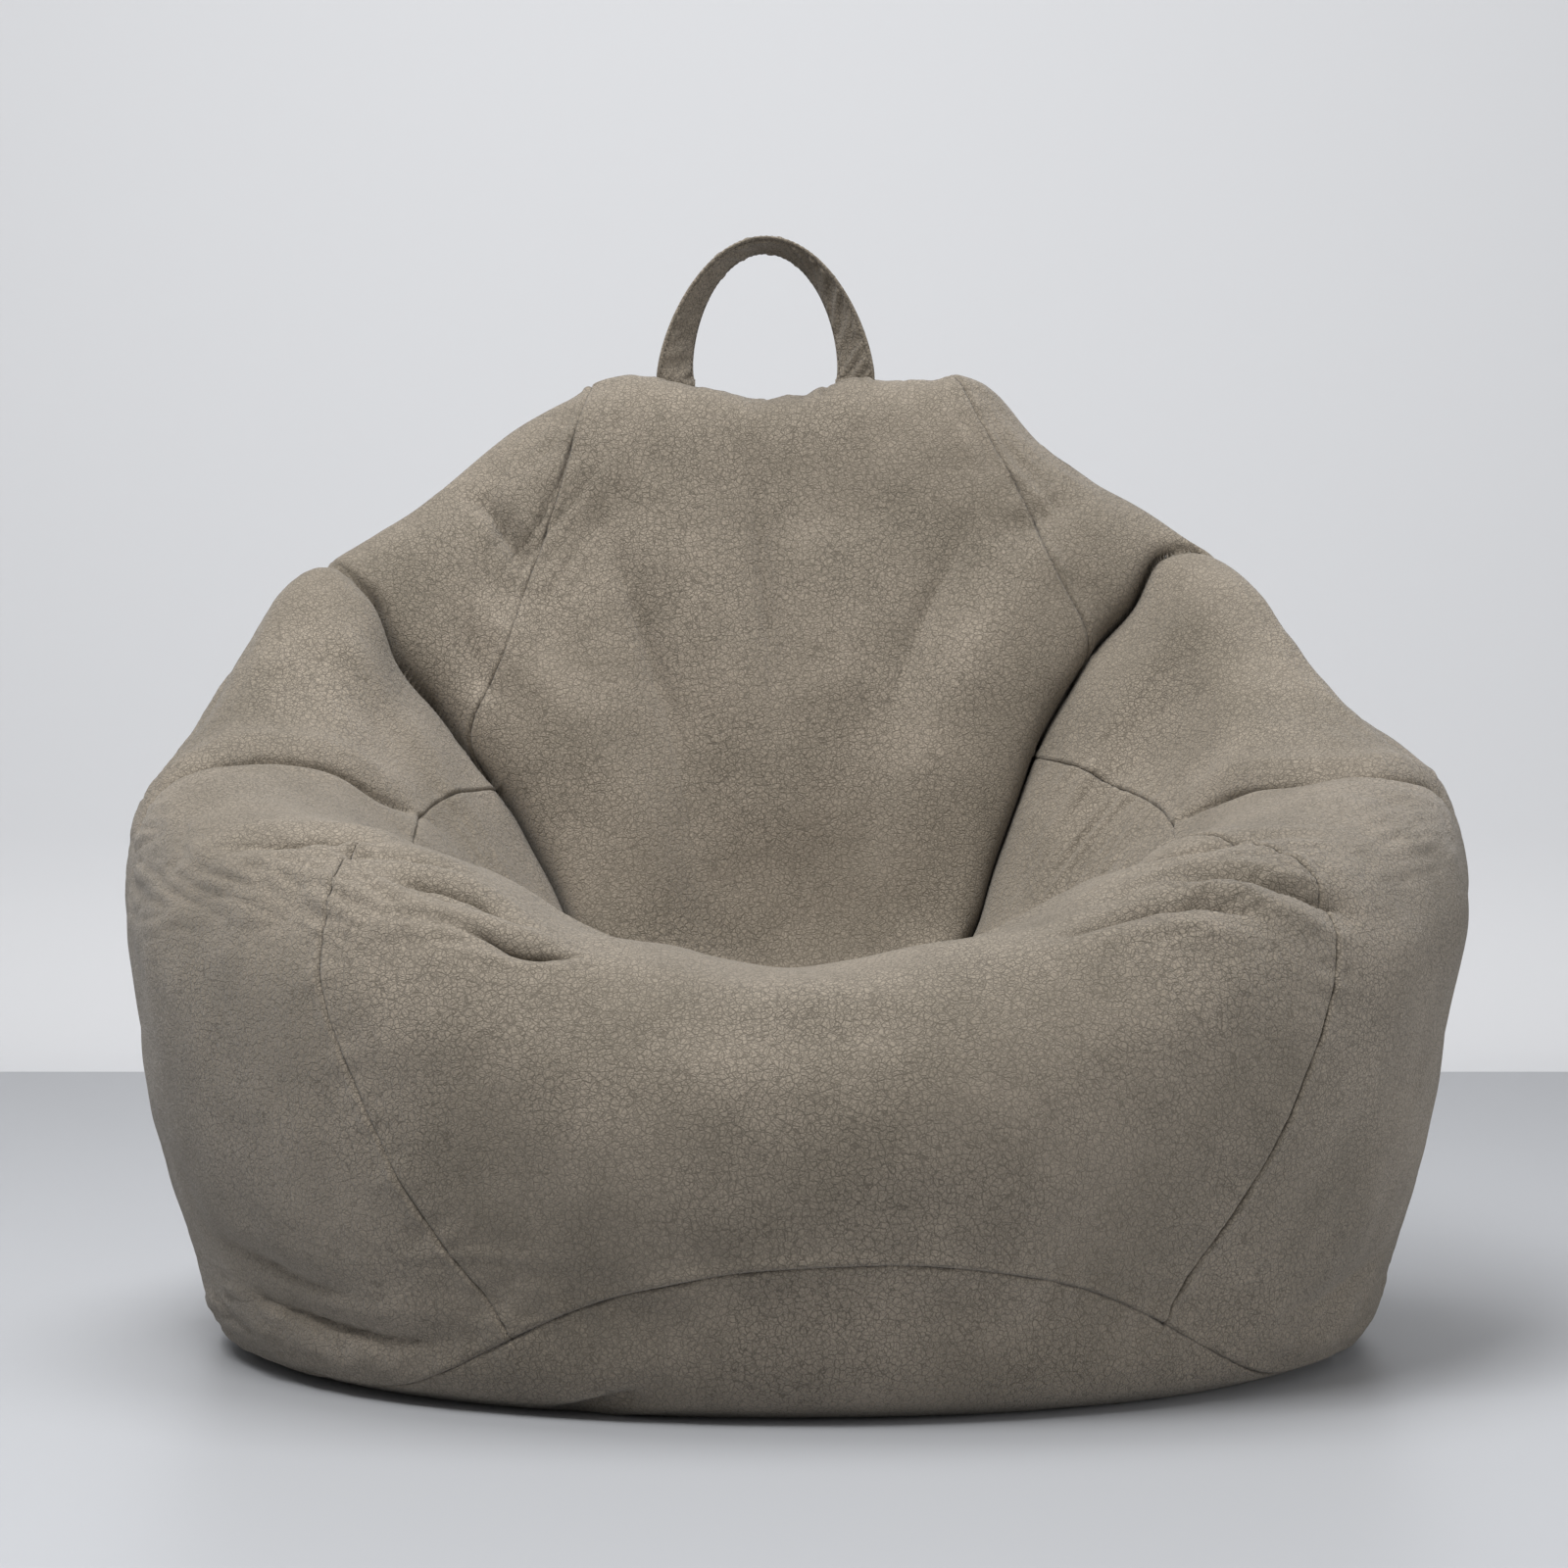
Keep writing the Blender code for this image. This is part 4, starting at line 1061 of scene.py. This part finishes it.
def strap_height(across, along, face):
    """Half thickness of the strap at a place: pressed at the stitching, wrinkled between the lines."""
    edge = STRAP_WIDTH / 2
    stitch = edge - STRAP_STITCH_IN
    body = STRAP_THICKNESS / 2 * (1 - np.clip(np.abs(across) / edge, 0, 1) ** 10 * .75)
    groove = STRAP_GROOVE * np.exp(-((np.abs(across) - stitch) / .0007) ** 2)
    slanted = along - across * STRAP_WRINKLE_SLANT
    place = np.stack([slanted, across * .3, np.full_like(across, face * 5.0)], -1)
    wrinkle = waves(place.reshape(-1, 3), STRAP_WRINKLE_LENGTH, 40, count=32, spread=.6)
    wrinkle = np.clip(wrinkle.reshape(across.shape), -1, 1.4)
    wrinkle *= smooth_step(0, .002, stitch - np.abs(across))
    return body - groove + STRAP_WRINKLE * wrinkle


def strap_mesh(name, section, half_thickness):
    """A closed band along the strap's line: section holds its places across, half_thickness(across,
    along, face) its height there."""
    shares = strap_shares()
    frames = [strap_frame(share) for share in shares]
    centre, across, out = (np.array([list(f[k]) for f in frames]) for k in range(3))
    grid_along, grid_across = np.meshgrid(lengths(centre), section, indexing="ij")
    rings = []
    for face, order in ((1, slice(None)), (-1, slice(None, None, -1))):
        height = face * half_thickness(grid_across, grid_along, face)[:, order, None]
        wide = grid_across[:, order, None]
        rings.append(centre[:, None] + across[:, None] * wide + out[:, None] * height)
    ring = np.concatenate(rings, axis=1)
    count = ring.shape[1]
    last = (len(shares) - 1) * count
    start = np.arange(last)
    turn = start - start % count + (start + 1) % count
    faces = np.stack([start, turn, turn + count, start + count], -1).tolist()
    caps = [list(range(count))[::-1], list(range(last, last + count))]
    mesh = bpy.data.meshes.new(name)
    mesh.from_pydata(ring.reshape(-1, 3).tolist(), [], faces + caps)
    return mesh


def webbing_height(across, along, face):
    """The woven band inside the sleeve has fine ribs along it."""
    return WEBBING_THICKNESS / 2 * (1 + .12 * np.sin(across * 2 * math.pi / WEBBING_RIB))


def stitch(tidy, place, along, out):
    """One sewn stitch: a short bent thread that dips into the cloth at both ends."""
    side = along.cross(out)
    rings = []
    for share in np.linspace(-1, 1, STITCH_RINGS):
        lift = THREAD_RADIUS * (STITCH_LIFT - STITCH_DIP * share**4)
        middle = place + along * (share * STITCH_LENGTH / 2) + out * lift
        ring = [tidy.verts.new(middle + (side * math.cos(a) + out * math.sin(a)) * THREAD_RADIUS)
                for a in np.linspace(0, 2 * math.pi, THREAD_SIDES + 1)[:-1]]
        rings.append(ring)
    for low, high in zip(rings, rings[1:]):
        for k in range(THREAD_SIDES):
            after = (k + 1) % THREAD_SIDES
            tidy.faces.new((low[k], low[after], high[after], high[k]))
    tidy.faces.new(rings[0][::-1])
    tidy.faces.new(rings[-1])


def handle_stitching():
    """Rows of stitches along both edges and on both faces of the strap."""
    tidy = bmesh.new()
    frames = [strap_frame(share) for share in np.linspace(0, 1, 800)]
    edge = STRAP_WIDTH / 2 - STRAP_STITCH_IN
    surface = STRAP_THICKNESS / 2 * .97 - STRAP_GROOVE
    for face in (-1, 1):
        for side in (-1, 1):
            line = [middle + across * side * edge + out * face * surface for middle, across, out in frames]
            run = 0.0
            for k in range(1, len(line)):
                run += (line[k] - line[k - 1]).length
                if run >= STITCH_PITCH:
                    run = 0.0
                    stitch(tidy, line[k], (line[k] - line[k - 1]).normalized(), frames[k][2] * face)
    bmesh.ops.recalc_face_normals(tidy, faces=tidy.faces[:])
    mesh = bpy.data.meshes.new("handle_stitching")
    tidy.to_mesh(mesh)
    tidy.free()
    return mesh


def handle():
    """The strap, whose root runs on into the top seam, the webbing inside it and its stitching; none of them rides
    on a body.
    """
    mesh = strap_mesh("handle_strap", strap_section(), strap_height)
    sleeve = link("handle_strap", mesh, SUEDE, None)
    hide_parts("handle_sleeve")
    band = np.linspace(-WEBBING_WIDTH / 2, WEBBING_WIDTH / 2, 41)
    mesh = strap_mesh("webbing_band", band, webbing_height)
    webbing = link("webbing_band", mesh, TAPE, None)
    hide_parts("handle_webbing")
    thread = link("handle_stitching", handle_stitching(), THREAD, None)
    for piece in (sleeve, webbing, thread):
        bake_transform(piece)


cover()
inner_layers()
handle()

# ---- carried CAD pieces
finishes = {"liner_cloth": LINER, "eps_beads": BEADS, "zip_tape": TAPE, "zip_coil": COIL,
            "zip_metal": METAL, "suede": SUEDE, "webbing": TAPE}
for part in frame["record"]["subparts"]:
    shown = bpy.data.objects.get(part["node"])
    if shown is not None and shown.data is not None:
        for place in shown.material_slots:
            place.material = finishes[part["material_slot"]]


# ---- stage, light and camera
WALL_Y, COVE = 2.60, .30               # the wall, and the radius of the curve at its foot
COVE_ANGLES = np.linspace(0, math.pi / 2, 9)
LIGHT_TARGET = Vector((0, 0, .3))
CAMERA_PLACE = (-.0075, -3.0 + FORM_CENTRE_Y, .44)
CAMERA_TILT = .74                      # degrees below the horizontal
LENS_MM, SENSOR_MM = 94.0, 36.0


def backdrop(name, profile, colour, roughness):
    """A wide sheet swept along X through the (y, z) points of its profile."""
    mesh = bpy.data.meshes.new(name)
    points = [(x, y, z) for y, z in profile for x in (-6, 6)]
    faces = [(2 * k, 2 * k + 1, 2 * k + 3, 2 * k + 2) for k in range(len(profile) - 1)]
    mesh.from_pydata(points, [], faces)
    mesh.shade_smooth()
    material, tree, shader = new_material(name)
    feed(tree, shader, {"Base Color": colour, "Roughness": roughness})
    # seen from behind the sheet is clear, so that it hides the chair in no view
    behind = node(tree, "NewGeometry", {})["Backfacing"]
    clear = node(tree, "BsdfTransparent", {})["BSDF"]
    sides = node(tree, "MixShader", {0: behind, 1: shader.outputs["BSDF"], 2: clear})["Shader"]
    feed(tree, tree.nodes["Material Output"], {"Surface": sides})
    mesh.materials.append(material)
    sheet = show(name, mesh)


def soft_light(name, place, size, power):
    """A soft rectangular light that points at the chair."""
    data = bpy.data.lights.new(name, "AREA")
    data.shape = "RECTANGLE"
    data.size, data.size_y = size
    data.energy = power
    lamp = show(name, data)
    lamp.location = place
    lamp.rotation_euler = (LIGHT_TARGET - Vector(place)).to_track_quat("-Z", "Y").to_euler()


def camera():
    """A long lens in front of the chair at about half its height, tilted a little down."""
    data = bpy.data.cameras.new("camera")
    data.lens = LENS_MM
    data.sensor_width = SENSOR_MM
    eye = show("camera", data)
    eye.location = CAMERA_PLACE
    eye.rotation_euler = (math.radians(90 - CAMERA_TILT), 0, 0)
    bpy.context.scene.camera = eye


backdrop("floor", [(-6, 0), (WALL_Y - COVE, 0)], (.415, .425, .445, 1), .42)
cove = [(WALL_Y - COVE + COVE * math.sin(a), COVE - COVE * math.cos(a)) for a in COVE_ANGLES]
backdrop("wall", cove + [(WALL_Y, 5)], (.71, .715, .73, 1), .7)
soft_light("key", (-.9, -1.6, 3.0), (1.6, 1.2), 96)
soft_light("fill", (2.8, -1.2, .6), (1.6, 1.2), 25)
soft_light("top", (-.2, .1, 3.1), (1.8, 1.4), 50)
world = bpy.data.worlds.new("world")
world.use_nodes = True
world.node_tree.nodes["Background"].inputs["Color"].default_value = (.84, .85, .87, 1)
world.node_tree.nodes["Background"].inputs["Strength"].default_value = .38
bpy.context.scene.world = world
bpy.context.scene.view_settings.view_transform = "Standard"
camera()
